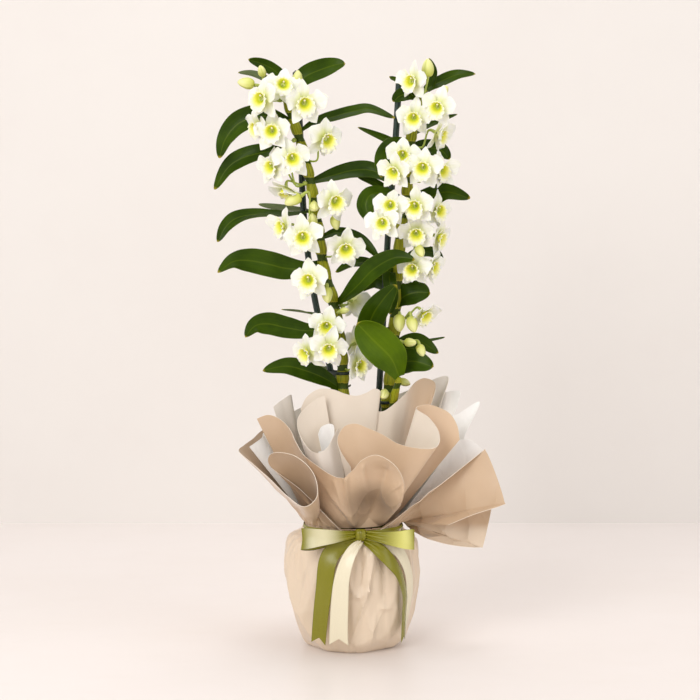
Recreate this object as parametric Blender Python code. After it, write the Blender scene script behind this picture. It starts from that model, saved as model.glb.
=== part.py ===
"""A potted dendrobium orchid in flower, its pot wrapped in paper and tied with a ribbon.

Every length in this file is in millimetres until an object is made, when MM turns it
into metres. X points right, Y away from the viewer, Z up, and the origin is the middle
of the wrapped pot's flat base.
"""

import math

import bpy
import bmesh
from mathutils import Vector

MM = 0.001
GAP = 0.35
UP = Vector((0, 0, 1))

POT_RIM_RADIUS = 60
POT_RIM_DEPTH = 11
POT_RIM_STEP = 3
POT_BASE_RADIUS = 43
POT_HEIGHT = 106
POT_WALL = 1.6
POT_FLOOR = 1.6
POT_SIDES = 24
MEDIUM_TOP = 96
MEDIUM_SHOULDER = 6
MEDIUM_LUMP = 1.5
STEM_FOOT = 56
HOLE_CLEARANCE = 0.9

NECK_RADIUS = 47.5
NECK_HEIGHT = 124
PAPER = 0.9
PLEATS = 13
PLEAT_DEPTH = 1.3
SWELL_DEPTH = 0.7
SHEET_ROWS = 2

CANE_RADIUS = 6.0
CANE_TIP_RADIUS = 4.4
INTERNODE = 23
WAIST = 0.9
HIDDEN_TOP = 225
STEM_SIDES = 8
SHOOT_RADIUS = 4.0
SHOOT_TIP_RADIUS = 3.4
STAKE_RADIUS = 3.2
STAKE_RINGS = 14
TIE_CLEARANCE = 0.9
TIE_THICKNESS = 1.4
TIE_HEIGHT = 3.0

LEAF_THICKNESS = 1.5
HUB_RADIUS = 3.2
TEPAL_THICKNESS = 1.0
SEPAL_LENGTH = 19
PETAL_LENGTH = 18
SEPAL_HALF_WIDTH = 5
PETAL_HALF_WIDTH = 7.5
LIP_RINGS = ((8.2, 11.8), (2.2, 5.0))
HUB_HALF = 1.3
FLOWER_SIDES = 5
STALK_RADIUS = 1.0
STALK_FOOT_RADIUS = 1.8
SHARED_FOOT_RADIUS = 1.1
KNOB_RADII = (1.9, 2.4, 1.7)
KNOB_LENGTH = 5
BUD_SHARES = (0.0, 0.35, 0.72, 1.0)

RIBBON_THICKNESS = 0.8
RIBBON_ROWS = 10
RIBBON_GATHER = 0.22
RING_SIDES = 30

COLOURS = {
    "pot": (0.09, 0.10, 0.09),
    "bark": (0.22, 0.14, 0.08),
    "leaf": (0.07, 0.20, 0.04),
    "stake": (0.01, 0.06, 0.04),
    "bloom": (0.88, 0.90, 0.80),
    "paper": (0.62, 0.50, 0.37),
    "liner": (0.84, 0.76, 0.66),
    "tissue": (0.92, 0.90, 0.88),
    "olive": (0.42, 0.46, 0.06),
    "ivory": (0.86, 0.84, 0.66),
}

# Centre line of each stem, from its foot in the bark to its top.
CANES = {
    "left": ((-8, 0, STEM_FOOT), (-9, 0, 150), (-10, 0, 265), (-13, 0, 305), (-20, 0, 346),
             (-29, 0, 378), (-34, 0, 415), (-41, 0, 458), (-50, 0, 497), (-60, 0, 528), (-67, 0, 552)),
    "right": ((24, 6, STEM_FOOT), (28, 6, 150), (34, 5, 240), (40, 3, 290), (43, 0, 350),
              (47, 0, 408), (54, 0, 458), (58, 0, 510), (65, 0, 534), (71, 0, 556)),
}
SHOOT = ((26, -10, STEM_FOOT), (27, -10, 130), (34, -10, 205), (40, -12, 246), (46, -24, 272))
STAKES = {
    "left": ((2, 10, STEM_FOOT), (-5, 10, 150), (-19, 10, 256), (-38, 10, 346),
             (-46, 10, 400), (-50, 10, 446), (-53, 10, 521), (-57, 10, 575)),
    "right": ((14, 14, STEM_FOOT), (19, 14, 150), (27, 13, 265), (35, 11, 410),
              (42, 10, 500), (46, 10, 571)),
}

# name: foot on the stem's centre line, then the way along the midrib to the tip; then
# the width, and the roll of the blade at its foot and at its tip in degrees.
LEAVES = {
    "left": {
        "a": (((-64, 0, 545), (-74, 4, 572), (-90, 2, 583), (-102, -4, 580)), 13, 20, 30),
        "b": (((-66, 0, 548), (-84, 10, 566), (-98, 12, 573), (-113, 12, 572)), 7, 0, 0),
        "c": (((-64, 0, 546), (-50, -3, 568), (-34, 0, 580), (-8, 0, 577)), 19, -30, -40),
        "d": (((-57, 0, 520), (-78, -1, 529), (-112, 4, 524), (-131, -6, 488)), 23, 25, 40),
        "e": (((-50, 0, 494), (-80, 0, 499), (-118, 2, 488), (-138, -4, 457)), 18, 30, 40),
        "f": (((-54, 0, 508), (-38, 0, 526), (5, 4, 539), (41, 0, 524)), 12, -20, -10),
        "g": (((-43, 0, 464), (-18, 10, 476), (13, 10, 480), (38, 2, 466)), 17, -15, -35),
        "h": (((-39, 0, 436), (-76, -1, 441), (-117, 2, 432), (-133, -4, 406)), 16, 30, 40),
        "i": (((-37, 0, 430), (-43, 24, 437), (-68, 28, 444), (-95, 26, 438)), 10, 10, 20),
        "j": (((-31, 0, 384), (-60, -3, 390), (-100, 0, 392), (-133, -8, 376)), 22, 35, 50),
        "k": (((-16, 0, 322), (-52, -5, 332), (-84, -4, 330), (-107, -12, 314)), 21, 45, 50),
        "k_back": (((-17, 0, 326), (-26, 22, 331), (-50, 28, 337), (-72, 26, 334)), 9, 0, 0),
        "l": (((-10, 0, 256), (-42, -14, 277), (-64, -20, 284), (-89, -26, 279)), 20, 45, 50),
        "m": (((-10, 0, 259), (-10, 22, 262), (-24, 30, 270), (-42, 32, 281)), 11, 70, 70),
        "n": (((-34, 0, 408), (-14, 8, 416), (8, 6, 411), (25, -2, 389)), 12, -10, -20),
        "o": (((-19, 0, 342), (-3, -16, 366), (24, -28, 386), (60, -38, 389)), 19, -20, -45),
    },
    "right": {
        "p": (((43, 0, 362), (20, -4, 384), (0, -2, 385), (-17, -2, 375)), 12, 10, 20),
        "q": (((43, 0, 358), (40, 22, 362), (20, 28, 368), (-3, 26, 352)), 19, 40, 50),
        "s": (((44, 0, 366), (48, -8, 372), (48, -12, 356), (43, -14, 338)), 13, 0, 0),
        "t": (((41, 0, 316), (24, -18, 322), (20, -32, 344), (38, -38, 364)), 25, 60, 80),
        "v": (((42, 0, 336), (52, -8, 347), (63, -12, 354), (76, -14, 355)), 20, -50, -60),
        "w": (((38, 3, 274), (47, -10, 286), (60, -18, 291), (79, -22, 283)), 22, -50, -60),
        "x": (((40, 3, 288), (54, 10, 303), (70, 8, 307), (85, 6, 294)), 13, -20, -20),
        "x_back": (((41, 3, 298), (58, 18, 303), (76, 22, 305), (93, 24, 308)), 8, 0, 0),
        "y": (((45, 0, 380), (66, 16, 396), (80, 18, 394), (84, 14, 375)), 12, -30, -30),
        "aa": (((70, 0, 550), (79, 10, 562), (80, 10, 574), (75, 6, 586)), 8, 0, 0),
        "ab": (((68, 0, 544), (84, 12, 564), (103, 12, 572), (122, 4, 569)), 12, -20, -20),
        "ac": (((67, 0, 540), (54, -4, 556), (44, -5, 564), (36, -5, 567)), 8, 20, 20),
        "ad": (((64, 0, 531), (52, -4, 545), (45, -5, 548), (38, -5, 544)), 9, 0, 0),
        "ae": (((58, 0, 510), (76, 16, 521), (88, 20, 527), (104, 20, 532)), 7, 0, 0),
        "af": (((57, 0, 494), (49, 24, 500), (28, 24, 510), (5, 18, 519)), 9, 20, 20),
        "ag": (((57, 0, 504), (36, -14, 511), (19, -24, 499), (27, -28, 469)), 24, 45, 60),
        "ah": (((57, 0, 492), (74, 14, 503), (86, 18, 503), (96, 14, 487)), 15, -30, -30),
        "ai": (((51, 0, 438), (45, 22, 446), (24, 24, 463), (4, 16, 470)), 10, 20, 20),
        "aj": (((52, 0, 444), (32, -14, 456), (16, -24, 447), (23, -28, 421)), 20, 45, 60),
        "ak": (((50, 0, 432), (68, 10, 450), (92, 8, 459), (115, 0, 449)), 17, -30, -40),
    },
    "shoot": {
        "u": (((46, -24, 272), (38, -38, 292), (20, -46, 311), (4, -50, 327)), 29, 70, 75),
    },
}

# name: which cane, the stalk's height on it, then its blooms and its buds.
# A bloom is (x, y, z, turn, tilt, size), a bud is (x, y, z, turn, tilt, length).
SPRAYS = {
    "bloom_left_01": ("left", 546, ((-69, -23, 557, 5, 10, 0.95), (-86, -34, 544, -25, 5, 1.0)),
                      ((-90, -8, 573, -30, 60, 12), (-105, -16, 560, -80, 10, 17),
                       (-55, -14, 566, 30, 70, 15))),
    "bloom_left_02": ("left", 528, ((-49, -24, 541, 30, 5, 1.0),), ()),
    "bloom_left_03": ("left", 507, ((-78, -27, 513, -8, 0, 0.95), (-91, -17, 519, -70, -5, 0.75)), ()),
    "bloom_left_04": ("left", 484, ((-29, -14, 507, 30, 0, 1.0),), ()),
    "bloom_left_05": ("left", 464, ((-60, -30, 487, 8, 8, 0.95), (-77, -18, 480, -65, -10, 0.75),
                                    (-66, -13, 459, -30, -60, 0.85)), ()),
    "bloom_left_06": ("left", 442, ((-20, -20, 446, 20, 0, 1.0),), ((-17, -8, 424, 30, -70, 15),)),
    "bloom_left_07": ("left", 428, (), ((-59, -22, 446, -80, -25, 18), (-38, -24, 440, 5, -20, 14))),
    "bloom_left_08": ("left", 408, ((-49, -28, 410, -5, 5, 1.0), (-66, -12, 421, -75, 0, 0.75)),
                      ((-40, -16, 427, -10, 75, 14),)),
    "bloom_left_09": ("left", 390, ((-8, -20, 400, 20, -5, 1.0),), ()),
    "bloom_left_10": ("left", 362, ((-42, -28, 368, -5, 0, 1.0),), ((-25, -22, 353, 10, -75, 16),)),
    "bloom_left_11": ("left", 340, ((-1, 14, 345, 140, -5, 0.9),), ((-8, -14, 337, 60, 10, 10),)),
    "bloom_left_12": ("left", 318, ((-26, -23, 323, 5, 5, 0.9), (-24, -38, 303, 15, -10, 0.95),
                                    (-43, -24, 298, -40, -15, 0.9)), ()),
    "bloom_left_13": ("left", 278, ((3, -22, 285, 35, 0, 0.75),), ()),
    "bloom_left_14": ("left", 296, ((2, 18, 302, 140, 10, 0.85),), ()),
    "bloom_right_01": ("right", 550, ((60, -20, 562, -40, 0, 0.9),),
                       ((73, -8, 576, 0, 80, 18), (88, -13, 553, 60, 40, 14))),
    "bloom_right_02": ("right", 534, ((83, -35, 537, -10, 5, 0.9),), ()),
    "bloom_right_03": ("right", 520, ((60, -22, 527, -5, -10, 0.9),), ()),
    "bloom_right_04": ("right", 500, ((82, -13, 512, 75, -20, 0.9),), ()),
    "bloom_right_05": ("right", 482, ((49, -22, 490, -15, 5, 0.8), (42, -34, 475, -25, -5, 0.8)), ()),
    "bloom_right_06": ("right", 466, ((69, -33, 478, -15, 0, 0.95), (84, -12, 477, 80, -10, 0.8)), ()),
    "bloom_right_07": ("right", 444, ((37, -35, 440, -10, 15, 0.75), (30, -42, 424, -15, 0, 0.8)), ()),
    "bloom_right_08": ("right", 430, ((62, -33, 441, -10, 5, 0.95), (81, -12, 437, 80, 0, 0.8)), ()),
    "bloom_right_09": ("right", 410, ((62, -22, 415, -10, 0, 0.9), (82, -6, 411, 80, -10, 0.8)), ()),
    "bloom_right_10": ("right", 386, ((60, -22, 380, -10, 0, 0.75), (75, -8, 382, 75, 0, 0.8)),
                       ((66, -30, 396, 20, -40, 14),)),
    "bloom_right_11": ("right", 330, ((68, -14, 336, 60, -30, 0.75),),
                       ((46, -18, 325, 0, -70, 18), (59, -24, 324, 25, -60, 17))),
    "bloom_right_12": ("right", 306, (), ((57, -16, 306, 60, 0, 13), (68, -12, 297, 30, -50, 14))),
    "bloom_right_13": ("right", 254, (), ((31, -18, 254, -10, -20, 14),)),
    "bloom_right_14": ("right", 264, (), ((52, 4, 264, 90, -20, 12),)),
}

# Each sheet of paper: how it turns at the neck (azimuth) and where its rim lies.
# Azimuth 0 is the front, 90 the right side, -90 the left side and 180 the back.
OUTER_RIM = (
    (-180, (0, 96, 214)), (-166, (-24, 94, 208)), (-152, (-46, 88, 206)), (-139, (-66, 76, 206)),
    (-126, (-84, 62, 212)), (-115, (-95, 45, 209)), (-104, (-102, 26, 204)), (-97, (-110, 6, 200)),
    (-90, (-114, -12, 196)), (-82, (-98, -34, 186)), (-74, (-80, -60, 175)), (-66, (-64, -80, 163)),
    (-58, (-47, -91, 154)), (-51, (-34, -97, 166)), (-45, (-38, -96, 188)), (-39, (-56, -87, 203)),
    (-33, (-73, -70, 205)), (-27, (-68, -56, 192)), (-21, (-44, -60, 166)), (-12, (-16, -60, 136)),
    (0, (0, -58, 130)), (12, (14, -57, 130)), (24, (28, -54, 131)), (36, (42, -50, 134)),
    (46, (58, -48, 148)), (56, (94, -38, 173)), (64, (131, -24, 198)), (72, (143, -32, 176)),
    (80, (149, -38, 149)), (87, (141, -18, 124)), (94, (130, -12, 102)), (101, (88, 2, 110)),
    (109, (66, 14, 126)), (117, (80, 34, 162)), (125, (84, 50, 184)), (132, (80, 62, 200)),
    (143, (64, 76, 207)), (154, (46, 88, 210)), (167, (24, 94, 213)),
)
FRONT_LOW_RIM = (
    (-86, (-96, -10, 229)), (-79, (-85, -20, 234)), (-72, (-75, -26, 232)), (-63, (-65, -34, 225)),
    (-52, (-57, -44, 214)), (-40, (-46, -58, 199)), (-28, (-30, -70, 187)), (-17, (-13, -78, 180)),
    (-8, (-1, -86, 188)), (0, (9, -94, 200)), (8, (23, -100, 205)), (16, (38, -104, 196)),
    (24, (47, -101, 182)), (32, (49, -90, 168)), (41, (46, -72, 152)),
)
TISSUE_LEFT_RIM = (
    (-176, (-8, 84, 222)), (-150, (-50, 74, 226)), (-128, (-76, 46, 222)), (-108, (-90, 18, 212)),
    (-98, (-92, 4, 208)), (-88, (-104, -5, 200)),
)
TISSUE_RIGHT_RIM = (
    (74, (104, -14, 208)), (79, (117, -12, 208)), (85, (131, -10, 196)), (91, (112, 2, 206)),
    (97, (128, 12, 243)), (104, (104, 16, 224)), (111, (110, 24, 250)), (121, (84, 42, 232)),
    (141, (50, 66, 226)), (164, (16, 80, 222)),
)
LINER_RIM = (
    (72, (84, -10, 214)), (84, (84, 6, 222)), (94, (90, 20, 242)), (104, (97, 32, 267)),
    (114, (74, 32, 261)), (130, (58, 44, 252)), (152, (34, 60, 242)), (180, (2, 68, 236)),
    (208, (-32, 60, 238)), (232, (-58, 42, 232)), (250, (-72, 22, 224)), (258, (-62, 8, 250)),
    (266, (-72, 2, 246)), (274, (-80, -2, 240)),
)
# The inner sheets double back on themselves, so their neck points are given in full.
ROLL_RIM = (
    ((-6, -32), (-28, -32, 255)), ((-12, -32), (-37, -33, 251)), ((-18, -31), (-47, -37, 243)),
    ((-23, -30.5), (-54, -43, 234)), ((-26.5, -32.5), (-54, -46, 223)), ((-24.5, -35.5), (-49, -51, 212)),
    ((-20, -39), (-42, -57, 204)), ((-15, -41.7), (-34, -63, 202)), ((-10, -43), (-25, -60, 207)),
    ((-6, -43), (-19, -54, 217)), ((-2, -42), (-15, -49, 224)),
)
FRONT_RIM = (
    ((2, -43.6), (-2, -60, 188)), ((4, -43.5), (-12, -62, 204)), ((6, -43.2), (-15, -61, 216)),
    ((9, -42.7), (-9, -59, 227)), ((12, -41.9), (2, -57, 230)), ((15, -41), (14, -59, 226)),
    ((18, -39.7), (29, -64, 220)), ((21.5, -37.9), (43, -68, 212)), ((25, -35.6), (60, -70, 208)),
    ((27.5, -33.4), (77, -67, 207)), ((28.5, -31), (84, -60, 212)), ((28, -29), (83, -52, 223)),
    ((27.5, -27), (74, -46, 235)), ((28, -24.8), (62, -41, 243)), ((30.5, -23), (72, -35, 246)),
    ((33, -20.8), (84, -31, 243)), ((35.2, -18), (96, -29, 236)), ((37, -15), (103, -30, 224)),
    ((38.4, -12), (105, -33, 211)),
)
BACK_PANEL_RIM = (
    ((-30, -22), (-52, -20, 240)), ((-27, -25), (-46, -20, 252)), ((-22, -26.5), (-34, -22, 260)),
    ((-16, -27), (-20, -25, 260)), ((-10, -27.3), (-8, -27, 256)), ((-4, -27.5), (3, -28, 254)),
    ((2, -27.4), (13, -28, 257)), ((7, -27), (21, -27, 261)), ((11, -26), (27, -24, 258)),
    ((14, -24.5), (26, -20, 248)), ((17, -24.4), (22, -21, 240)), ((21, -24), (30, -22, 238)),
    ((25, -22.4), (42, -20, 246)), ((29, -19), (54, -11, 256)), ((31.6, -15), (63, 0, 265)),
    ((33.4, -11), (73, 7, 268)), ((35, -7), (83, 9, 262)), ((35.4, -3), (80, 2, 247)),
)

WRAP_PROFILE = ((45.5, 0), (51, 6), (61, 36), (66.5, 72), (62.8, 106), (52.5, 113.4),
                (48, 115.4), (NECK_RADIUS, NECK_HEIGHT))


def remove_everything():
    """Empty the scene, so that the same objects are made each time."""
    for item in list(bpy.data.objects):
        bpy.data.objects.remove(item, do_unlink=True)


def material(name, colour, roughness):
    """A Principled material of one colour."""
    made = bpy.data.materials.new(name)
    made.use_nodes = True
    shader = made.node_tree.nodes["Principled BSDF"]
    shader.inputs["Base Color"].default_value = (*colour, 1)
    shader.inputs["Roughness"].default_value = roughness
    made.diffuse_color = (*colour, 1)
    return made


def finish(name, mesh_data, colour, roughness, crease=35):
    """Turn a bmesh in millimetres into a named object in metres."""
    bmesh.ops.recalc_face_normals(mesh_data, faces=mesh_data.faces)
    bmesh.ops.scale(mesh_data, vec=(MM, MM, MM), verts=mesh_data.verts)
    mesh = bpy.data.meshes.new(name)
    mesh_data.to_mesh(mesh)
    mesh_data.free()
    mesh.shade_smooth()
    mesh.set_sharp_from_angle(angle=math.radians(crease))
    made = bpy.data.objects.new(name, mesh)
    mesh.materials.append(material(name, COLOURS[colour], roughness))
    bpy.context.scene.collection.objects.link(made)
    return made


def smooth_point(points, place):
    """A point on the smooth curve through the given points; place runs from 0 to 1."""
    spans = len(points) - 1
    at = min(max(place, 0.0), 1.0) * spans
    index = min(int(at), spans - 1)
    part = at - index
    before, start = points[max(index - 1, 0)], points[index]
    end, after = points[index + 1], points[min(index + 2, spans)]
    return 0.5 * (2 * start + (end - before) * part
                  + (2 * before - 5 * start + 4 * end - after) * part ** 2
                  + (3 * start - before - 3 * end + after) * part ** 3)


def vectors(points):
    return [Vector(point) for point in points]


def walk(points, places):
    """Points, tangents and steady side directions along a smooth curve."""
    course = vectors(points)
    spots = [smooth_point(course, place) for place in places]
    step = 0.01
    tangents = [(smooth_point(course, place + step) - smooth_point(course, place - step)).normalized()
                for place in places]
    guide = UP if abs(tangents[0].z) < 0.95 else Vector((0, -1, 0))
    normal = (guide - tangents[0] * guide.dot(tangents[0])).normalized()
    normals = []
    for tangent in tangents:
        normal = (normal - tangent * normal.dot(tangent)).normalized()
        normals.append(normal.copy())
    return spots, tangents, normals


def bridge(shape, first, second, shift=0):
    """Join two rings with pairs of triangles; shift picks the way that the pairs are cut."""
    count = len(first)
    for index in range(count):
        after = (index + 1) % count
        a, b, c, d = first[index], first[after], second[after], second[index]
        if (index + shift) % 2:
            shape.faces.new((b, c, d))
            shape.faces.new((b, d, a))
        else:
            shape.faces.new((a, b, c))
            shape.faces.new((a, c, d))


def add_ring(shape, centre, across, along, radius, sides, turn=0.0):
    """A ring of points round a centre, the first one turned by an angle from across."""
    ring = []
    for index in range(sides):
        angle = math.tau * index / sides + turn
        way = math.cos(angle) * across + math.sin(angle) * along
        ring.append(shape.verts.new(centre + radius * way))
    return ring


def add_tube(shape, points, radii, sides, places=None):
    """A solid round rod or bud along a curve, one ring for each radius."""
    places = places or [index / (len(radii) - 1) for index in range(len(radii))]
    spots, tangents, normals = walk(points, places)
    rings = []
    for spot, tangent, normal, radius in zip(spots, tangents, normals, radii):
        rings.append(add_ring(shape, spot, normal, tangent.cross(normal), radius, sides))
    for first, second in zip(rings, rings[1:]):
        bridge(shape, first, second)
    shape.faces.new(rings[0])
    shape.faces.new(rings[-1])


def add_turned(shape, profile, sides, ripple=None):
    """A solid turned about Z from a profile of (radius, height) that runs from pole to pole."""
    rings = []
    for radius, height in profile:
        ring = []
        for index in range(sides):
            angle = math.tau * index / sides
            reach = radius + (ripple(angle, height) if ripple else 0)
            ring.append(shape.verts.new((reach * math.cos(angle), reach * math.sin(angle), height)))
        rings.append(ring)
    for first, second in zip(rings, rings[1:]):
        bridge(shape, first, second)
    shape.faces.new(rings[0])
    shape.faces.new(rings[-1])


def fuse(name, shapes, colour, roughness):
    """Join solids that cross each other into one closed body."""
    pieces = [finish(f"{name}_{index:02d}", shape, colour, roughness) for index, shape in enumerate(shapes)]
    base = pieces[0]
    base.name = name
    if len(pieces) == 1:
        return base
    group = bpy.data.collections.new(f"{name}_pieces")
    for piece in pieces[1:]:
        group.objects.link(piece)
    join = base.modifiers.new("join", "BOOLEAN")
    join.operation = "UNION"
    join.operand_type = "COLLECTION"
    join.collection = group
    whole = bpy.data.meshes.new_from_object(base.evaluated_get(bpy.context.evaluated_depsgraph_get()))
    base.modifiers.clear()
    base.data = whole
    whole.materials.clear()
    whole.materials.append(material(name, COLOURS[colour], roughness))
    for piece in pieces[1:]:
        bpy.data.objects.remove(piece, do_unlink=True)
    bpy.data.collections.remove(group)
    return base


def thinned(height, top, start, end):
    """A stem's radius at a height: it thins a little toward its top."""
    share = (height - STEM_FOOT) / (top - STEM_FOOT)
    return start + (end - start) * share ** 2


def place_at(course, height):
    """How far along a rising curve a height is reached, from 0 to 1."""
    low, high = 0.0, 1.0
    for _ in range(30):
        middle = (low + high) / 2
        if smooth_point(course, middle).z < height:
            low = middle
        else:
            high = middle
    return low


def stem_point(points, height):
    """The middle of a stem or a stake at a height."""
    course = vectors(points)
    return smooth_point(course, place_at(course, height))


def stem_shape(points, start, end):
    """A jointed stem: waisted at each node and full between, plain where the wrap hides it."""
    foot, top = points[0][2], points[-1][2]
    halves = 2 * round((top - HIDDEN_TOP) / INTERNODE)
    heights = [foot, (foot + HIDDEN_TOP) / 2]
    waists = [1.0, 1.0]
    for index in range(halves + 1):
        heights.append(HIDDEN_TOP + (top - HIDDEN_TOP) * index / halves)
        waists.append(WAIST if index % 2 == 0 else 1.0)
    course = vectors(points)
    places = [place_at(course, height) for height in heights]
    radii = [waist * thinned(height, top, start, end) for height, waist in zip(heights, waists)]
    shape = bmesh.new()
    add_tube(shape, points, radii, STEM_SIDES, places)
    return shape


LEAF_OUTLINE = ((0.0, 0.30), (0.14, 0.48), (0.34, 0.94), (0.58, 1.0), (0.82, 0.64))
LEAF_KEEL = 0.12


def leaf_shape(points, width, roll_foot, roll_tip):
    """A strap leaf with a keeled blade, thickest at the midrib and pointed at the tip."""
    places = [place for place, _ in LEAF_OUTLINE] + [1.0]
    spots, tangents, normals = walk(points, places)
    shape = bmesh.new()
    rings = []
    for index, (place, share) in enumerate(LEAF_OUTLINE):
        roll = math.radians(roll_foot + (roll_tip - roll_foot) * place)
        side = tangents[index].cross(normals[index])
        face = math.cos(roll) * normals[index] + math.sin(roll) * side
        edge = tangents[index].cross(face)
        half = width * share / 2
        dip = spots[index] - face * LEAF_KEEL * width * share
        thick = LEAF_THICKNESS / 2
        rings.append([shape.verts.new(spots[index] + edge * half), shape.verts.new(dip + face * thick),
                      shape.verts.new(spots[index] - edge * half), shape.verts.new(dip - face * thick)])
    for first, second in zip(rings, rings[1:]):
        bridge(shape, first, second)
    tip = shape.verts.new(spots[-1])
    last = rings[-1]
    for index in range(4):
        shape.faces.new((last[index], last[(index + 1) % 4], tip))
    shape.faces.new(rings[0])
    return shape


# Angle round the flower, length, half width, and how far the blade leans forward.
SEPAL_STATIONS = ((0.45, 1.0, 0.7),)
PETAL_STATIONS = ((0.35, 0.95, 0.6), (0.72, 0.9, 0.9))
TEPALS = ((90, SEPAL_LENGTH, SEPAL_HALF_WIDTH, 1, SEPAL_STATIONS),
          (162, PETAL_LENGTH, PETAL_HALF_WIDTH, 2, PETAL_STATIONS),
          (234, SEPAL_LENGTH, SEPAL_HALF_WIDTH, -2, SEPAL_STATIONS),
          (306, SEPAL_LENGTH, SEPAL_HALF_WIDTH, -2, SEPAL_STATIONS),
          (18, PETAL_LENGTH, PETAL_HALF_WIDTH, 2, PETAL_STATIONS))


def face_axes(turn, tilt):
    """Right, up and forward for something that faces a way; turn 0 faces the viewer."""
    turn, tilt = math.radians(turn), math.radians(tilt)
    forward = Vector((math.sin(turn) * math.cos(tilt), -math.cos(turn) * math.cos(tilt), math.sin(tilt)))
    right = forward.cross(UP).normalized() * -1
    return right, forward.cross(right), forward


def stalk_course(root, out, end, aim):
    """A stalk that leaves the cane along out and meets its flower along aim."""
    reach = (end - root).length
    return [root, root + out * reach * 0.35, end - aim * reach * 0.35, end]


def bloom_shape(root, out, place, foot_radius):
    """One flower with its stalk: five tepals round a hub, and a trumpet-shaped lip."""
    x, y, z, turn, tilt, size = place
    centre = Vector((x, y, z))
    right, up, forward = face_axes(turn, tilt)
    first_corner = math.radians(54)
    shape = bmesh.new()

    def spot(across, along, ahead):
        return centre + size * (across * right + along * up + ahead * forward)

    def ring(radius, ahead):
        return add_ring(shape, spot(0, 0, ahead), right, up, size * radius, FLOWER_SIDES, first_corner)

    front, back = ring(HUB_RADIUS, HUB_HALF), ring(HUB_RADIUS, -HUB_HALF)
    for index, (angle, length, half, lean, stations) in enumerate(TEPALS):
        after = (index + 1) % FLOWER_SIDES
        way = math.radians(angle)
        out_x, out_y = math.cos(way), math.sin(way)
        section = [front[index], front[after], back[after], back[index]]
        for share, wide, ahead in stations:
            reach = HUB_RADIUS + length * share
            level = lean * ahead
            corners = []
            for sign, lift in ((-1, 1), (1, 1), (1, -1), (-1, -1)):
                across = reach * out_x - sign * half * wide * out_y
                along = reach * out_y + sign * half * wide * out_x
                corners.append(shape.verts.new(spot(across, along, level + lift * TEPAL_THICKNESS / 2)))
            bridge_blade(shape, section, corners)
            section = corners
        reach = HUB_RADIUS + length
        tips = [shape.verts.new(spot(reach * out_x, reach * out_y, lean + lift * TEPAL_THICKNESS / 2))
                for lift in (1, -1)]
        shape.faces.new((section[0], section[1], tips[0]))
        shape.faces.new((section[3], section[2], tips[1]))
        for near, far in ((section[1], section[2]), (section[0], section[3])):
            shape.faces.new((near, far, tips[1], tips[0]))

    inner = front
    for radius, ahead in LIP_RINGS:
        outer = ring(radius, ahead)
        bridge(shape, inner, outer)
        inner = outer
    shape.faces.new(inner)

    stalk = stalk_course(root, out, centre - forward * size * 5, forward)
    course = [smooth_point(stalk, share) for share in (1.0, 0.5, 0.0)]
    ways = [course[0] - course[1], course[0] - course[2], out]
    radii = (STALK_FOOT_RADIUS, STALK_RADIUS, foot_radius)
    previous, across = back, right
    for middle, way, radius in zip(course, ways, radii):
        way = way.normalized()
        across = (across - way * across.dot(way)).normalized()
        corners = add_ring(shape, middle, across, way.cross(across), radius, FLOWER_SIDES, first_corner)
        bridge(shape, previous, corners)
        previous = corners
    shape.faces.new(previous)
    return shape


def bridge_blade(shape, first, second):
    """Join two four-cornered sections, cutting the front and the back the same way."""
    a, b = first, second
    for corners in ((a[0], a[1], b[1], b[0]), (a[3], a[2], b[2], b[3]),
                    (a[1], a[2], b[2], b[1]), (a[0], a[3], b[3], b[0])):
        shape.faces.new((corners[0], corners[1], corners[2]))
        shape.faces.new((corners[0], corners[2], corners[3]))


def bud_shape(root, out, place, foot_radius):
    """A closed bud on its stalk, blunt at its neck and pointed at its end."""
    x, y, z, turn, tilt, length = place
    _, _, forward = face_axes(turn, tilt)
    neck = Vector((x, y, z)) - forward * length / 2
    middle = smooth_point(stalk_course(root, out, neck, forward), 0.5)
    points = [root, root + out, middle] + [neck + forward * length * share for share in BUD_SHARES]
    radii = [foot_radius, foot_radius, STALK_RADIUS, STALK_FOOT_RADIUS, length * 0.29, length * 0.25, 0.5]
    shape = bmesh.new()
    add_tube(shape, points, radii, FLOWER_SIDES)
    return shape


def build_spray(name, side, height, blooms, buds):
    """The flowers and buds that grow from one node of a cane."""
    cane = CANES[side]
    middle = stem_point(cane, height)
    way = (stem_point(cane, height + 3) - stem_point(cane, height - 3)).normalized()
    places = blooms + buds
    mean = sum((Vector(place[:3]) for place in places), Vector()) / len(places)
    out = mean - middle
    out = (out - way * out.dot(way)).normalized()
    radius = thinned(height, cane[-1][2], CANE_RADIUS, CANE_TIP_RADIUS)
    root = middle + out * (radius + GAP)
    shapes = []
    foot_radius = STALK_FOOT_RADIUS
    if len(places) > 1:
        knob, middle = bmesh.new(), root + out * KNOB_LENGTH / 2
        add_tube(knob, (root, middle, root + out * KNOB_LENGTH), KNOB_RADII, FLOWER_SIDES)
        shapes.append(knob)
        root = middle
        foot_radius = SHARED_FOOT_RADIUS
    shapes += [bloom_shape(root, out, place, foot_radius) for place in blooms]
    shapes += [bud_shape(root, out, place, foot_radius) for place in buds]
    return fuse(name, shapes, "bloom", 0.5)


def neck_point(azimuth, radius, height=NECK_HEIGHT):
    """A point round the pot's axis; azimuth 0 is the front and 90 the right side."""
    angle = math.radians(azimuth)
    return Vector((radius * math.sin(angle), -radius * math.cos(angle), height))


def smooth_columns(pairs, steps):
    """More columns between the given ones, on smooth curves through their ends."""
    necks, rims = [pair[0] for pair in pairs], [pair[1] for pair in pairs]
    last = steps * (len(pairs) - 1)
    return [(smooth_point(necks, index / last), smooth_point(rims, index / last))
            for index in range(last + 1)]


def paper_grid(columns, rows):
    """Rows of points on straight lines from the neck to the rim."""
    return [[neck.lerp(rim, row / rows) for row in range(rows + 1)] for neck, rim in columns]


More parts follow.
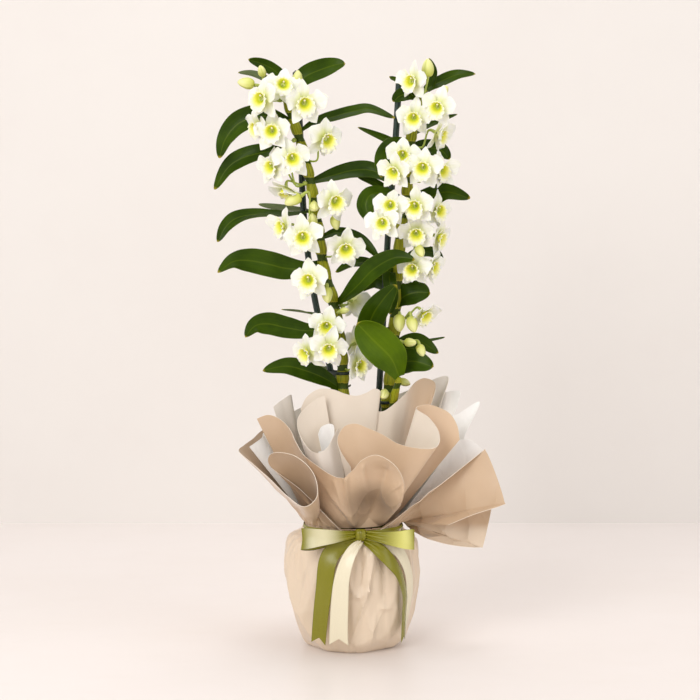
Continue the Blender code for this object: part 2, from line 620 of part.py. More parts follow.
def add_sheet(shape, grid, wraps_pot=False):
    """Give a grid of points a thickness; the sheet that wraps the pot closes into a ring and a floor."""
    columns, rows = len(grid), len(grid[0])
    outer, inner = [], []
    for i in range(columns):
        before = grid[i - 1] if wraps_pot or i else grid[0]
        after = grid[(i + 1) % columns] if wraps_pot else grid[min(i + 1, columns - 1)]
        outer_line, inner_line = [], []
        for j in range(rows):
            along = after[j] - before[j]
            rise = grid[i][min(j + 1, rows - 1)] - grid[i][max(j - 1, 0)]
            spot = grid[i][j] - along.cross(rise).normalized() * PAPER
            if wraps_pot and j == 0:
                spot = grid[i][j] * (1 - PAPER / WRAP_PROFILE[0][0])
                spot.z = PAPER
            outer_line.append(shape.verts.new(grid[i][j]))
            inner_line.append(shape.verts.new(spot))
        outer.append(outer_line)
        inner.append(inner_line)
    for i in range(columns if wraps_pot else columns - 1):
        k = (i + 1) % columns
        for j in range(rows - 1):
            for face in (outer, inner):
                shape.faces.new((face[i][j], face[k][j], face[k][j + 1]))
                shape.faces.new((face[i][j], face[k][j + 1], face[i][j + 1]))
        for j in (rows - 1,) if wraps_pot else (0, rows - 1):
            shape.faces.new((outer[i][j], outer[k][j], inner[k][j], inner[i][j]))
    if wraps_pot:
        shape.faces.new([line[0] for line in outer])
        shape.faces.new([line[0] for line in inner])
        return
    for i in (0, columns - 1):
        for j in range(rows - 1):
            shape.faces.new((outer[i][j], outer[i][j + 1], inner[i][j + 1], inner[i][j]))


def build_outer_wrap():
    """The sheet under and round the pot, gathered at the neck, with its collar above."""
    pairs = [(neck_point(azimuth, NECK_RADIUS), Vector(rim)) for azimuth, rim in OUTER_RIM]
    grid = []
    for (azimuth, _), upper in zip(OUTER_RIM, paper_grid(pairs, SHEET_ROWS)):
        angle = math.radians(azimuth)
        folds = PLEAT_DEPTH * math.sin(PLEATS * angle) + SWELL_DEPTH * math.sin(7 * angle + 1)
        line = []
        for radius, height in WRAP_PROFILE[:-1]:
            fade = min(height / 40, (POT_HEIGHT + 14 - height) / 30, 1)
            line.append(neck_point(azimuth, radius + folds * fade, height))
        grid.append(line + upper)
    shape = bmesh.new()
    add_sheet(shape, grid, wraps_pot=True)
    finish("paper_wrap_outer", shape, "paper", 0.6)


def build_sheet(name, pairs, colour, steps):
    """One of the sheets tucked in at the neck."""
    shape = bmesh.new()
    add_sheet(shape, paper_grid(smooth_columns(pairs, steps), SHEET_ROWS))
    finish(name, shape, colour, 0.6)


def build_paper():
    """The wrap and the sheets inside it, from the outermost in."""
    build_outer_wrap()
    tuck = NECK_HEIGHT + 1
    for name, rim, radius, colour in (("paper_tissue_left", TISSUE_LEFT_RIM, 45.8, "tissue"),
                                      ("paper_tissue_right", TISSUE_RIGHT_RIM, 45.8, "tissue"),
                                      ("paper_front_low", FRONT_LOW_RIM, 46.0, "paper"),
                                      ("paper_liner", LINER_RIM, 43.6, "liner")):
        pairs = [(neck_point(azimuth, radius, tuck), Vector(top)) for azimuth, top in rim]
        build_sheet(name, pairs, colour, 1)
    for name, rim, colour in (("paper_roll_left", ROLL_RIM, "liner"), ("paper_front", FRONT_RIM, "paper"),
                              ("paper_back_panel", BACK_PANEL_RIM, "liner")):
        pairs = [(Vector((*neck, tuck)), Vector(top)) for neck, top in rim]
        build_sheet(name, pairs, colour, 2)


def build_pot():
    """The grower's pot, with a step below its rim."""
    floor = PAPER + GAP
    step = POT_HEIGHT - POT_RIM_DEPTH
    below = POT_RIM_RADIUS - POT_RIM_STEP
    shape = bmesh.new()
    add_turned(shape, ((POT_BASE_RADIUS, floor), (below, step - 1), (POT_RIM_RADIUS, step),
                       (POT_RIM_RADIUS, POT_HEIGHT), (POT_RIM_RADIUS - POT_WALL, POT_HEIGHT),
                       (below - POT_WALL, step - 1), (POT_BASE_RADIUS - POT_WALL, floor + POT_FLOOR)),
               POT_SIDES)
    finish("grower_pot", shape, "pot", 0.5)


def build_medium():
    """The bark in the pot, with a plain hole for each stem and stake."""
    floor = PAPER + GAP
    slope = (POT_RIM_RADIUS - POT_RIM_STEP - POT_BASE_RADIUS) / (POT_HEIGHT - POT_RIM_DEPTH - 1 - floor)
    low, shoulder = floor + POT_FLOOR + GAP, MEDIUM_TOP - MEDIUM_SHOULDER
    inside = POT_BASE_RADIUS - POT_WALL - 2 * GAP

    def lumps(angle, height):
        return 0 if height <= shoulder else MEDIUM_LUMP * math.sin(5 * angle) * math.cos(3 * angle)

    bark = bmesh.new()
    profile = ((inside, low), (inside + slope * (shoulder - low), shoulder),
               (0.7 * POT_RIM_RADIUS, MEDIUM_TOP), (POT_RIM_RADIUS / 3, MEDIUM_TOP + 2))
    add_turned(bark, profile, POT_SIDES, lumps)
    medium = finish("growing_medium", bark, "bark", 0.9)
    stems = ((CANES["left"], CANE_RADIUS), (CANES["right"], CANE_RADIUS), (SHOOT, SHOOT_RADIUS),
             (STAKES["left"], STAKE_RADIUS), (STAKES["right"], STAKE_RADIUS))
    for index, (course, radius) in enumerate(stems):
        foot, above = Vector(course[0]), Vector(course[1])
        way = (above - foot).normalized()
        ends = (foot - way * HOLE_CLEARANCE, above)
        hole = bmesh.new()
        add_tube(hole, ends, (radius + HOLE_CLEARANCE,) * 2, STEM_SIDES)
        cutter = finish(f"stem_hole_{index}", hole, "bark", 0.9)
        cutter.hide_render = True
        cutter.display_type = "WIRE"
        cut = medium.modifiers.new(f"hole_{index}", "BOOLEAN")
        cut.object = cutter
        cut.operation = "DIFFERENCE"


def build_stems():
    """The two canes and the young shoot, each with its leaves, and the two stakes."""
    for side, course in CANES.items():
        shapes = [stem_shape(course, CANE_RADIUS, CANE_TIP_RADIUS)]
        shapes += [leaf_shape(*leaf) for leaf in LEAVES[side].values()]
        fuse(f"leafy_cane_{side}", shapes, "leaf", 0.4)
    shapes = [stem_shape(SHOOT, SHOOT_RADIUS, SHOOT_TIP_RADIUS)]
    shapes += [leaf_shape(*leaf) for leaf in LEAVES["shoot"].values()]
    fuse("leafy_young_shoot", shapes, "leaf", 0.4)
    for side, course in STAKES.items():
        shape = bmesh.new()
        add_tube(shape, course, (STAKE_RADIUS,) * STAKE_RINGS, STEM_SIDES)
        finish(f"stake_{side}", shape, "stake", 0.3)


def build_tie(name, side, height):
    """A loop that holds a cane to its stake."""
    cane, stake = stem_point(CANES[side], height), stem_point(STAKES[side], height)
    heading = math.atan2(stake.y - cane.y, stake.x - cane.x)
    half = TIE_HEIGHT / 2
    shape = bmesh.new()
    rings = []
    for offset, lift in ((0.0, -half), (0.0, half), (TIE_THICKNESS, half), (TIE_THICKNESS, -half)):
        ring = []
        for centre, radius, start in ((cane, CANE_RADIUS, 90), (stake, STAKE_RADIUS, -90)):
            for step in range(6):
                angle = heading + math.radians(start + 36 * step)
                reach = radius + TIE_CLEARANCE + offset
                ring.append(shape.verts.new((centre.x + reach * math.cos(angle),
                                             centre.y + reach * math.sin(angle), height + lift)))
        rings.append(ring)
    for first, second in zip(rings, rings[1:] + rings[:1]):
        bridge(shape, first, second)
    finish(name, shape, "stake", 0.4)


def add_strip(shape, points, width, across_start, across_end, notch, near_width):
    """A ribbon of one thickness along a curve; notch cuts a V into its far end."""
    course = vectors(points)
    rows = RIBBON_ROWS
    lines = []
    for row in range(rows + 1):
        place = row / rows
        spot = smooth_point(course, place)
        tangent = (smooth_point(course, place + 0.01) - smooth_point(course, place - 0.01)).normalized()
        across = Vector(across_start).lerp(Vector(across_end), place)
        across = (across - tangent * across.dot(tangent)).normalized()
        normal = tangent.cross(across) * RIBBON_THICKNESS / 2
        near = min(place, 1 - place) if notch == 0 else place
        wide = near_width + (width - near_width) * min(near / RIBBON_GATHER, 1.0)
        back = notch if row == rows else 0
        corners = []
        for face in (1, -1):
            for share in (-0.5, 0, 0.5):
                pull = tangent * back if share == 0 else Vector()
                corners.append(shape.verts.new(spot + across * wide * share - pull + normal * face))
        lines.append(corners)
    for first, second in zip(lines, lines[1:]):
        for a, b in ((0, 1), (1, 2), (3, 4), (4, 5)):
            shape.faces.new((first[a], first[b], second[b]))
            shape.faces.new((first[a], second[b], second[a]))
        for a, b in ((0, 3), (2, 5)):
            shape.faces.new((first[a], first[b], second[b], second[a]))
    for line in (lines[0], lines[-1]):
        shape.faces.new((line[0], line[1], line[4], line[3]))
        shape.faces.new((line[1], line[2], line[5], line[4]))


BAND_LOW, BAND_HIGH, BAND_RADIUS, BAND_THICKNESS = 115.6, 122, 49.2, 1
KNOT = (8, -57.6, 121)
KNOT_RADII = (3.0, 5.0, 5.4, 5.0, 3.0)
# name: colour, the way along the middle of the ribbon, its width, the direction across it
# at its two ends, the depth of the V cut into its far end, the width at its near end.
RIBBONS = {
    "ribbon_loop_left": (
        "olive", ((2.6, -62, 121), (-14, -69, 120), (-38, -70, 119), (-49, -65, 118),
                  (-38, -61, 119), (-14, -60, 120), (2.4, -58.5, 121)),
        20, (0, 0.3, 1), (0, 0.3, 1), 0, 9),
    "ribbon_loop_right": (
        "olive", ((13.4, -62, 121), (28, -69, 120), (50, -68, 118), (59, -61, 117),
                  (48, -58.5, 119), (28, -60, 120), (13.6, -58.5, 121)),
        19, (0, 0.3, 1), (0, 0.3, 1), 0, 9),
    "ribbon_tail_olive_left": (
        "olive", ((5.6, -59.2, 111.8), (-6, -71.5, 99), (-19, -75.5, 70), (-27, -71, 45), (-34, -63, 14)),
        18, (-1, 0.1, -0.3), (-1, 0.4, 0.2), 6, 5),
    "ribbon_tail_ivory_left": (
        "ivory", ((9, -62.8, 113.2), (8, -78.5, 97), (-3, -80.5, 70), (-9, -77, 45), (-14, -68, 15)),
        18, (-1, 0, -0.1), (-1, 0.1, 0.1), 6, 5),
    "ribbon_tail_olive_right": (
        "olive", ((10.6, -59.6, 111.6), (26, -68, 98), (42, -64, 82), (52, -57, 56), (50, -51, 14)),
        14, (0.6, 0.2, 0.8), (1, 0.8, 0), 5, 4),
    "ribbon_tail_ivory_right": (
        "ivory", ((13, -56.8, 112.6), (38, -60, 102), (61, -50, 84), (69, -40, 56), (64, -34, 16)),
        12, (0.6, 0.4, 0.8), (0.7, 0.8, 0), 5, 4),
}


def build_ribbon():
    """The band round the neck, the knot, two loops and four tails."""
    shape = bmesh.new()
    rings = []
    outside = BAND_RADIUS + BAND_THICKNESS
    for radius, height in ((BAND_RADIUS, BAND_LOW), (BAND_RADIUS, BAND_HIGH),
                           (outside, BAND_HIGH), (outside, BAND_LOW)):
        centre = Vector((0, 0, height))
        rings.append(add_ring(shape, centre, Vector((1, 0, 0)), Vector((0, 1, 0)), radius, RING_SIDES))
    for first, second in zip(rings, rings[1:] + rings[:1]):
        bridge(shape, first, second)
    finish("ribbon_band", shape, "olive", 0.35)
    knot = bmesh.new()
    x, y, z = KNOT
    add_tube(knot, ((x, y, z - 8), (x, y - 1, z), (x, y, z + 7)), KNOT_RADII, 10)
    finish("ribbon_knot", knot, "olive", 0.35)
    for name, (colour, *course) in RIBBONS.items():
        strip = bmesh.new()
        add_strip(strip, *course)
        finish(name, strip, colour, 0.35)


def main():
    remove_everything()
    build_pot()
    build_medium()
    build_stems()
    build_tie("tie_left", "left", 274)
    build_tie("tie_right", "right", 244)
    for name, spray in SPRAYS.items():
        build_spray(name, *spray)
    build_paper()
    build_ribbon()


main()
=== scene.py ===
"""The dressed scene of a potted dendrobium orchid, its pot wrapped in paper and tied with a ribbon.

Shapes are worked out in millimetres and turned into metres when a mesh is laid. X points right,
Y away from the viewer and Z up; the origin is the middle of the wrapped pot's flat base.
"""

import logging
import math
from dataclasses import dataclass
from enum import Enum
from typing import Callable, Sequence

import bmesh
import bpy
import numpy as np
from mathutils import Matrix, Vector


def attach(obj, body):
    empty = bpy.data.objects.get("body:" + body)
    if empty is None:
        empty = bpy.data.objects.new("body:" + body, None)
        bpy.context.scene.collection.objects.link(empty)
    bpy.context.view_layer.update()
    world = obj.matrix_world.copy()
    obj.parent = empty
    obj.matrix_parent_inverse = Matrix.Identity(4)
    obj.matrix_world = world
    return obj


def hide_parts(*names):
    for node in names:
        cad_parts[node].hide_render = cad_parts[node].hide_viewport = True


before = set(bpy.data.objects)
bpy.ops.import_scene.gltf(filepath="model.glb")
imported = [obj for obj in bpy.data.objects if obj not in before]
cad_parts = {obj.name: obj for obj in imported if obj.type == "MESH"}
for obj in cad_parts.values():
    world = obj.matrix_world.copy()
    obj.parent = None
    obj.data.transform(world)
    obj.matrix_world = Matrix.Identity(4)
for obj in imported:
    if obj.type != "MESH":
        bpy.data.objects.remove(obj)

LOG = logging.getLogger("orchid")
Array = np.ndarray
Form = Callable[[Array, Array], Array]
Point = tuple[float, float, float]
Colour = tuple[float, float, float]

MM = 0.001
BODY = "root"
SEED = 41
UP = np.array((0.0, 0.0, 1.0))

MERGE_REACH = 1e-6
HALVINGS = 30
UPRIGHT = 0.95

STEM_FOOT = 56
HIDDEN_TOP = 225
CANE_RADIUS = 6.0
CANE_TIP_RADIUS = 4.4
STAKE_RADIUS = 3.2
SHOOT_RADIUS = 4.0
SHOOT_TIP_RADIUS = 3.4
LEAF_COLUMNS, LEAF_ROWS = 14, 44
FOLD_TOP, FOLD_FADE = 126, 119
DEPTH_SHARE = 0.33
NECK_HEIGHT = 124
NECK_RADIUS = 47.5
POT_HEIGHT = 106
POT_RIM_RADIUS = 60
POT_BASE_RADIUS = 43

CANES = {
    "left": ((-8, 0, STEM_FOOT), (-9, 0, 150), (-10, 0, 265), (-13, 0, 305), (-20, 0, 346),
             (-29, 0, 378), (-34, 0, 415), (-41, 0, 458), (-50, 0, 497), (-60, 0, 528), (-67, 0, 552)),
    "right": ((24, 6, STEM_FOOT), (28, 6, 150), (34, 5, 240), (40, 3, 290), (43, 0, 350),
              (47, 0, 408), (54, 0, 458), (58, 0, 510), (65, 0, 534), (71, 0, 556)),
}
SHOOT = ((26, -10, STEM_FOOT), (27, -10, 130), (34, -10, 205), (40, -12, 246), (46, -24, 272))
STAKES = {
    "left": ((2, 10, STEM_FOOT), (-5, 10, 150), (-19, 10, 256), (-38, 10, 346),
             (-46, 10, 400), (-50, 10, 446), (-53, 10, 521), (-57, 10, 575)),
    "right": ((14, 14, STEM_FOOT), (19, 14, 150), (27, 13, 265), (35, 11, 410),
              (42, 10, 500), (46, 10, 571)),
}

TIE_HEIGHTS = {"left": 274, "right": 244}

# name: points along the midrib, the width, and how far the face is rolled toward the viewer along it.
LEAVES = {
    "left": {
        "a": (((-64, 0, 545), (-70, 2, 566), (-79, 2, 575), (-91, 0, 581), (-103, -3, 584)),
               12, (75, 60, 40)),
        "b": (((-66, 0, 548), (-76, 7, 560), (-87, 9, 567), (-100, 12, 572), (-114, 12, 573)),
               7, (-60, -70)),
        "c": (((-64, 0, 546), (-59, -1, 558), (-47, -3, 569), (-31, -2, 576), (-18, 0, 580), (-8, 0, 581)),
              20, (60, 70, 75)),
        "d": (((-57, 0, 520), (-76, -1, 528), (-94, 0, 530), (-114, 2, 523), (-127, 0, 507),
               (-132, -6, 488)),
              23, (60, 70, 80)),
        "e": (((-50, 0, 494), (-72, 0, 496), (-90, 0, 495), (-112, 1, 488), (-126, 0, 477),
               (-137, -4, 457)),
              19, (10, 40, 75, 80)),
        "f": (((-53, 0, 514), (-38, -1, 524), (-18, 0, 530), (0, 4, 535), (17, 4, 537), (41, 0, 527)),
              13, (40, 60, 60)),
        "g": (((-43, 0, 464), (-23, 8, 471), (0, 10, 477), (20, 9, 476), (38, 2, 465)), 18, (50, 65, 75)),
        "h": (((-39, 0, 436), (-62, -1, 433), (-95, 1, 434), (-115, 0, 430), (-127, -2, 420),
               (-134, -4, 405)),
              16, (10, 25, 65, 80)),
        "i": (((-37, 0, 430), (-43, 20, 435), (-61, 28, 438), (-80, 28, 440), (-95, 26, 442)),
               8, (-40, -60)),
        "j": (((-31, 0, 384), (-48, -2, 379), (-66, -2, 379), (-83, -3, 383), (-103, -2, 387),
               (-120, -4, 386), (-134, -8, 375)), 25, (60, 78, 80, 75, 45)),
        "k": (((-16, 0, 322), (-43, -4, 317), (-66, -4, 320), (-84, -5, 324), (-98, -8, 322),
               (-107, -12, 311)),
              22, (60, 75, 75, 65)),
        "k_back": (((-17, 0, 326), (-26, 22, 329), (-50, 28, 334), (-72, 26, 336)), 9, (20, -30)),
        "l": (((-10, 0, 256), (-25, -7, 268), (-44, -14, 277), (-66, -20, 283), (-89, -26, 279)),
               19, (60, 75, 70)),
        "m": (((-10, 0, 259), (-10, 22, 262), (-24, 30, 270), (-42, 32, 281)), 18, (-50, -60)),
        "n": (((-34, 0, 408), (-14, 6, 415), (8, 6, 407), (26, 0, 389)), 12, (50, 70)),
        "o": (((-19, 0, 342), (-8, -11, 352), (4, -18, 364), (20, -26, 380), (41, -34, 391),
               (60, -38, 389)),
              21, (50, 65, 80)),
    },
    "right": {
        "p": (((43, 0, 362), (20, -4, 382), (0, -2, 385), (-17, -2, 375)), 12, (40, 60)),
        "q": (((43, 0, 358), (40, 20, 362), (20, 26, 368), (-3, 26, 352)), 22, (60, 80)),
        "s": (((43, 0, 366), (37, -8, 377), (36, -14, 368), (39, -18, 350), (37, -20, 334)), 13, (60, 70)),
        "t": (((41, 0, 318), (28, -12, 314), (17, -24, 320), (20, -31, 334), (30, -36, 350),
               (42, -38, 364)),
              26, (60, 75, 85)),
        "v": (((42, 0, 342), (50, -8, 352), (62, -12, 356), (76, -14, 355)), 25, (60, 80)),
        "w": (((38, 3, 274), (44, -8, 284), (60, -17, 288), (79, -22, 282)), 25, (60, 80)),
        "x": (((40, 3, 288), (46, 6, 299), (60, 9, 305), (72, 8, 303), (85, 6, 293)), 17, (60, 75)),
        "x_back": (((41, 3, 298), (58, 18, 303), (76, 22, 305), (93, 24, 308)), 5, (20, 30)),
        "y": (((45, 0, 380), (56, 8, 390), (70, 14, 395), (81, 17, 394), (87, 17, 387), (84, 14, 377)),
              12, (50, 65)),
        "aa": (((70, 0, 550), (77, 8, 560), (80, 10, 574), (75, 6, 586)), 7, (60, 80)),
        "ab": (((68, 0, 546), (74, 5, 557), (88, 10, 565), (104, 11, 571), (121, 4, 571)), 12, (50, 65)),
        "ac": (((67, 0, 540), (54, -4, 556), (44, -5, 564), (36, -5, 567)), 8, (40, 50)),
        "ad": (((66, 0, 545), (56, -6, 551), (46, -8, 549), (40, -8, 543)), 14, (70, 75)),
        "ae": (((58, 0, 510), (76, 16, 521), (88, 20, 527), (104, 20, 532)), 7, (40, 40)),
        "af": (((57, 0, 494), (49, 22, 500), (28, 24, 510), (5, 18, 519)), 8, (40, 50)),
        "ag": (((57, 0, 505), (46, -12, 502), (36, -20, 494), (30, -24, 483), (28, -28, 469)),
               23, (60, 75, 80)),
        "ah": (((57, 0, 492), (63, 8, 497), (77, 14, 499), (89, 16, 496), (96, 14, 487)), 17, (60, 80)),
        "ai": (((51, 0, 438), (45, 20, 446), (24, 24, 463), (4, 16, 470)), 9, (40, 50)),
        "aj": (((52, 0, 446), (34, -12, 454), (18, -20, 453), (12, -24, 443), (15, -26, 432),
               (23, -28, 420)), 17, (50, 70, 80)),
        "ak": (((50, 0, 432), (62, 6, 442), (78, 8, 450), (94, 7, 455), (116, 0, 448)), 20, (60, 75, 75)),
    },
    "shoot": {
        "u": (((46, -24, 272), (38, -38, 292), (20, -46, 311), (4, -50, 327)), 36, (75, 85)),
    },
}

# The heights at which a stem is jointed, from its foot up.
NODES = {
    "left": (60, 95, 130, 160, 188, 214, 238, 260, 278, 298, 318, 340, 362, 388, 408, 426, 444,
             464, 484, 506, 528, 546, 560),
    "right": (60, 95, 130, 160, 188, 212, 234, 256, 280, 306, 332, 360, 386, 410, 430, 447, 465,
              482, 500, 518, 534, 550, 564),
    "shoot": (60, 100, 140, 180, 214, 240, 262, 280),
}

# name: the cane, the stalk's height on it, its blooms (x, y, z, turn, tilt, size) and buds (.., length).
SPRAYS = {
    "bloom_left_01": ("left", 546, ((-69, -23, 557, 5, 10, 0.95), (-86, -34, 544, -25, 5, 1.0)),
                      ((-90, -8, 573, -30, 60, 12), (-105, -16, 560, -80, 10, 17),
                       (-55, -14, 566, 30, 70, 15))),
    "bloom_left_02": ("left", 528, ((-49, -24, 541, 30, 5, 1.0),), ()),
    "bloom_left_03": ("left", 507, ((-78, -27, 513, -8, 0, 0.95), (-91, -17, 519, -70, -5, 0.75)), ()),
    "bloom_left_04": ("left", 484, ((-29, -14, 507, 30, 0, 1.0),), ()),
    "bloom_left_05": ("left", 464, ((-60, -30, 487, 8, 8, 0.95), (-77, -18, 480, -65, -10, 0.75),
                                    (-66, -13, 459, -30, -60, 0.85)), ()),
    "bloom_left_06": ("left", 442, ((-20, -20, 446, 20, 0, 1.0),), ((-17, -8, 424, 30, -70, 15),)),
    "bloom_left_07": ("left", 428, (), ((-59, -22, 446, -80, -25, 18), (-38, -24, 440, 5, -20, 14))),
    "bloom_left_08": ("left", 408, ((-49, -28, 410, -5, 5, 1.0), (-66, -12, 421, -75, 0, 0.75)),
                      ((-40, -16, 427, -10, 75, 14),)),
    "bloom_left_09": ("left", 390, ((-8, -20, 400, 20, -5, 1.0),), ()),
    "bloom_left_10": ("left", 362, ((-42, -28, 368, -5, 0, 1.0),), ((-25, -22, 353, 10, -75, 16),)),
    "bloom_left_11": ("left", 340, ((-1, 14, 345, 140, -5, 0.9),), ((-8, -14, 337, 60, 10, 10),)),
    "bloom_left_12": ("left", 318, ((-26, -23, 323, 5, 5, 0.9), (-24, -38, 303, 15, -10, 0.95),
                                    (-43, -24, 298, -40, -15, 0.9)), ()),
    "bloom_left_13": ("left", 278, ((3, -22, 285, 35, 0, 0.75),), ()),
    "bloom_left_14": ("left", 296, ((2, 18, 302, 140, 10, 0.85),), ()),
    "bloom_right_01": ("right", 550, ((60, -20, 562, -40, 0, 0.9),),
                       ((73, -8, 576, 0, 80, 18), (88, -13, 553, 60, 40, 14))),
    "bloom_right_02": ("right", 534, ((83, -35, 537, -10, 5, 0.9),), ()),
    "bloom_right_03": ("right", 520, ((60, -22, 527, -5, -10, 0.9),), ()),
    "bloom_right_04": ("right", 500, ((82, -13, 512, 75, -20, 0.9),), ()),
    "bloom_right_05": ("right", 482, ((49, -22, 490, -15, 5, 0.8), (42, -34, 475, -25, -5, 0.8)), ()),
    "bloom_right_06": ("right", 466, ((69, -33, 478, -15, 0, 0.95), (84, -12, 477, 80, -10, 0.8)), ()),
    "bloom_right_07": ("right", 444, ((37, -35, 440, -10, 15, 0.75), (30, -42, 424, -15, 0, 0.8)), ()),
    "bloom_right_08": ("right", 430, ((62, -33, 441, -10, 5, 0.95), (81, -12, 437, 80, 0, 0.8)), ()),
    "bloom_right_09": ("right", 410, ((62, -22, 415, -10, 0, 0.9), (82, -6, 411, 80, -10, 0.8)), ()),
    "bloom_right_10": ("right", 386, ((60, -22, 380, -10, 0, 0.75), (75, -8, 382, 75, 0, 0.8)),
                       ((66, -30, 396, 20, -40, 14),)),
    "bloom_right_11": ("right", 330, ((68, -14, 336, 60, -30, 0.75),),
                       ((46, -18, 325, 0, -70, 18), (59, -24, 324, 25, -60, 17))),
    "bloom_right_12": ("right", 306, (), ((57, -16, 306, 60, 0, 13), (68, -12, 297, 30, -50, 14))),
    "bloom_right_13": ("right", 254, (), ((31, -18, 254, -10, -20, 14),)),
    "bloom_right_14": ("right", 264, (), ((52, 4, 264, 90, -20, 12),)),
}

# Azimuth round the pot in degrees (0 the front, 90 the right) and the rim's point in millimetres.
OUTER_RIM = (
    (-180, (0, 96, 214)), (-166, (-24, 94, 208)), (-152, (-46, 88, 206)), (-139, (-66, 76, 206)),
    (-126, (-84, 62, 212)), (-115, (-95, 45, 209)), (-104, (-102, 26, 204)), (-97, (-110, 6, 200)),
    (-90, (-114, -12, 196)), (-82, (-98, -34, 186)), (-74, (-80, -60, 175)), (-66, (-64, -80, 163)),
    (-58, (-47, -91, 154)), (-51, (-34, -97, 166)), (-45, (-38, -96, 188)), (-39, (-56, -87, 203)),
    (-33, (-78, -70, 203)), (-27, (-80, -60, 188)), (-21, (-50, -58, 164)), (-12, (-13, -50, 124.4)),
    (0, (0, -48.6, 122.4)), (12, (10, -47.8, 122.4)), (24, (20, -44.6, 122.6)), (36, (32, -41, 125)),
    (46, (56, -44, 145)), (56, (94, -38, 173)), (63, (127, -25, 197)), (65, (132, -25, 198)),
    (72, (142, -32, 174)), (78, (149, -38, 151)), (79.5, (147, -39, 147)), (82, (118, -42, 138)),
    (84, (93, -44, 128)), (86, (116, -32, 137)), (88, (137, -23, 145)), (89.5, (138, -21, 141)),
    (92, (131, -14, 104)), (94, (127, -14, 100)), (98, (106, -18, 102)), (102, (86, -18, 106)),
    (106, (68, -10, 112)), (110, (65, 6, 124)), (114, (70, 20, 144)), (119, (80, 36, 166)),
    (125, (84, 50, 184)), (132, (80, 62, 200)), (143, (64, 76, 207)), (154, (46, 88, 210)),
    (167, (24, 94, 213)),
)
FRONT_LOW_RIM = (
    (-86, (-96, -10, 229)), (-79, (-85, -20, 234)), (-72, (-75, -26, 232)), (-63, (-65, -34, 225)),
    (-52, (-57, -44, 214)), (-40, (-46, -58, 199)), (-28, (-30, -70, 187)), (-17, (-13, -78, 180)),
    (-8, (-1, -86, 188)), (0, (9, -94, 200)), (8, (23, -100, 205)), (16, (38, -104, 196)),
    (24, (47, -101, 182)), (32, (49, -90, 168)), (41, (46, -72, 152)),
)
TISSUE_LEFT_RIM = (
    (-176, (-8, 84, 222)), (-150, (-50, 74, 226)), (-128, (-76, 46, 222)), (-108, (-90, 18, 212)),
    (-98, (-92, 4, 208)), (-88, (-104, -5, 200)),
)
TISSUE_RIGHT_RIM = (
    (74, (104, -14, 208)), (79, (117, -12, 208)), (85, (131, -10, 196)), (91, (112, 2, 206)),
    (97, (128, 12, 243)), (102, (104, 14, 230)), (107, (106, 18, 240)), (111, (108, 22, 253)),
    (117, (90, 34, 249)), (123, (82, 42, 236)), (141, (50, 66, 226)), (164, (16, 80, 222)),
)
LINER_RIM = (
    (72, (84, -10, 214)), (84, (84, 6, 222)), (94, (90, 20, 242)), (104, (97, 32, 267)),
    (114, (74, 32, 261)), (130, (58, 44, 252)), (152, (34, 60, 242)), (180, (2, 68, 236)),
    (208, (-32, 60, 238)), (232, (-58, 42, 232)), (250, (-72, 22, 224)), (258, (-62, 8, 250)),
    (266, (-72, 2, 246)), (274, (-80, -2, 240)),
)
ROLL_RIM = (
    ((-6, -32), (-28, -32, 255)), ((-12, -32), (-37, -33, 251)), ((-18, -31), (-47, -37, 243)),
    ((-23, -30.5), (-54, -43, 234)), ((-26.5, -32.5), (-54, -46, 223)), ((-24.5, -35.5), (-49, -51, 212)),
    ((-20, -39), (-42, -57, 204)), ((-15, -41.7), (-34, -63, 202)), ((-10, -43), (-25, -60, 207)),
    ((-6, -43), (-19, -54, 217)), ((-2, -42), (-15, -49, 224)),
)
FRONT_RIM = (
    ((2, -43.6), (-2, -60, 188)), ((4, -43.5), (-12, -62, 204)), ((6, -43.2), (-15, -61, 216)),
    ((9, -42.7), (-9, -59, 227)), ((12, -41.9), (2, -57, 230)), ((15, -41), (14, -59, 226)),
    ((18, -39.7), (29, -64, 220)), ((21.5, -37.9), (43, -68, 212)), ((25, -35.6), (60, -70, 208)),
    ((27.5, -33.4), (77, -67, 207)), ((28.5, -31), (84, -60, 212)), ((28, -29), (83, -52, 223)),
    ((27.5, -27), (74, -46, 235)), ((28, -24.8), (62, -41, 243)), ((30.5, -23), (72, -35, 246)),
    ((33, -20.8), (84, -31, 243)), ((35.2, -18), (96, -29, 236)), ((37, -15), (103, -30, 224)),
    ((38.4, -12), (105, -33, 211)),
)
BACK_PANEL_RIM = (
    ((-30, -22), (-52, -20, 240)), ((-27, -25), (-46, -20, 252)), ((-22, -26.5), (-34, -22, 260)),
    ((-16, -27), (-20, -25, 260)), ((-10, -27.3), (-8, -27, 256)), ((-4, -27.5), (3, -28, 254)),
    ((2, -27.4), (13, -28, 257)), ((7, -27), (21, -27, 261)), ((11, -26), (27, -24, 258)),
    ((14, -24.5), (26, -20, 248)), ((17, -24.4), (22, -21, 240)), ((21, -24), (30, -22, 238)),
    ((25, -22.4), (42, -20, 246)), ((29, -19), (54, -11, 256)), ((31.6, -15), (63, 0, 265)),
    ((33.4, -11), (73, 7, 268)), ((35, -7), (83, 9, 262)), ((35.4, -3), (80, 2, 247)),
)
CURL_RIM = (
    ((-16, -36), (-34, -46, 218)), ((-15, -35), (-31, -44, 225)), ((-12, -35), (-23, -42, 228)),
    ((-10, -36), (-19, -44, 225)), ((-10, -38.5), (-20, -50, 213)), ((-13, -39), (-26, -54, 205)),
    ((-17, -38.5), (-34, -54, 202)),
)
WRAP_PROFILE = ((45.5, 0), (51, 6), (61, 36), (66.5, 72), (62.8, 106), (52.5, 113.4),
                (48, 115.4), (NECK_RADIUS, NECK_HEIGHT))


# Numbers and curves.

def unit(ways: Array) -> Array:
    """The same directions, each with length one."""
    return ways / np.maximum(np.linalg.norm(ways, axis=-1, keepdims=True), 1e-9)


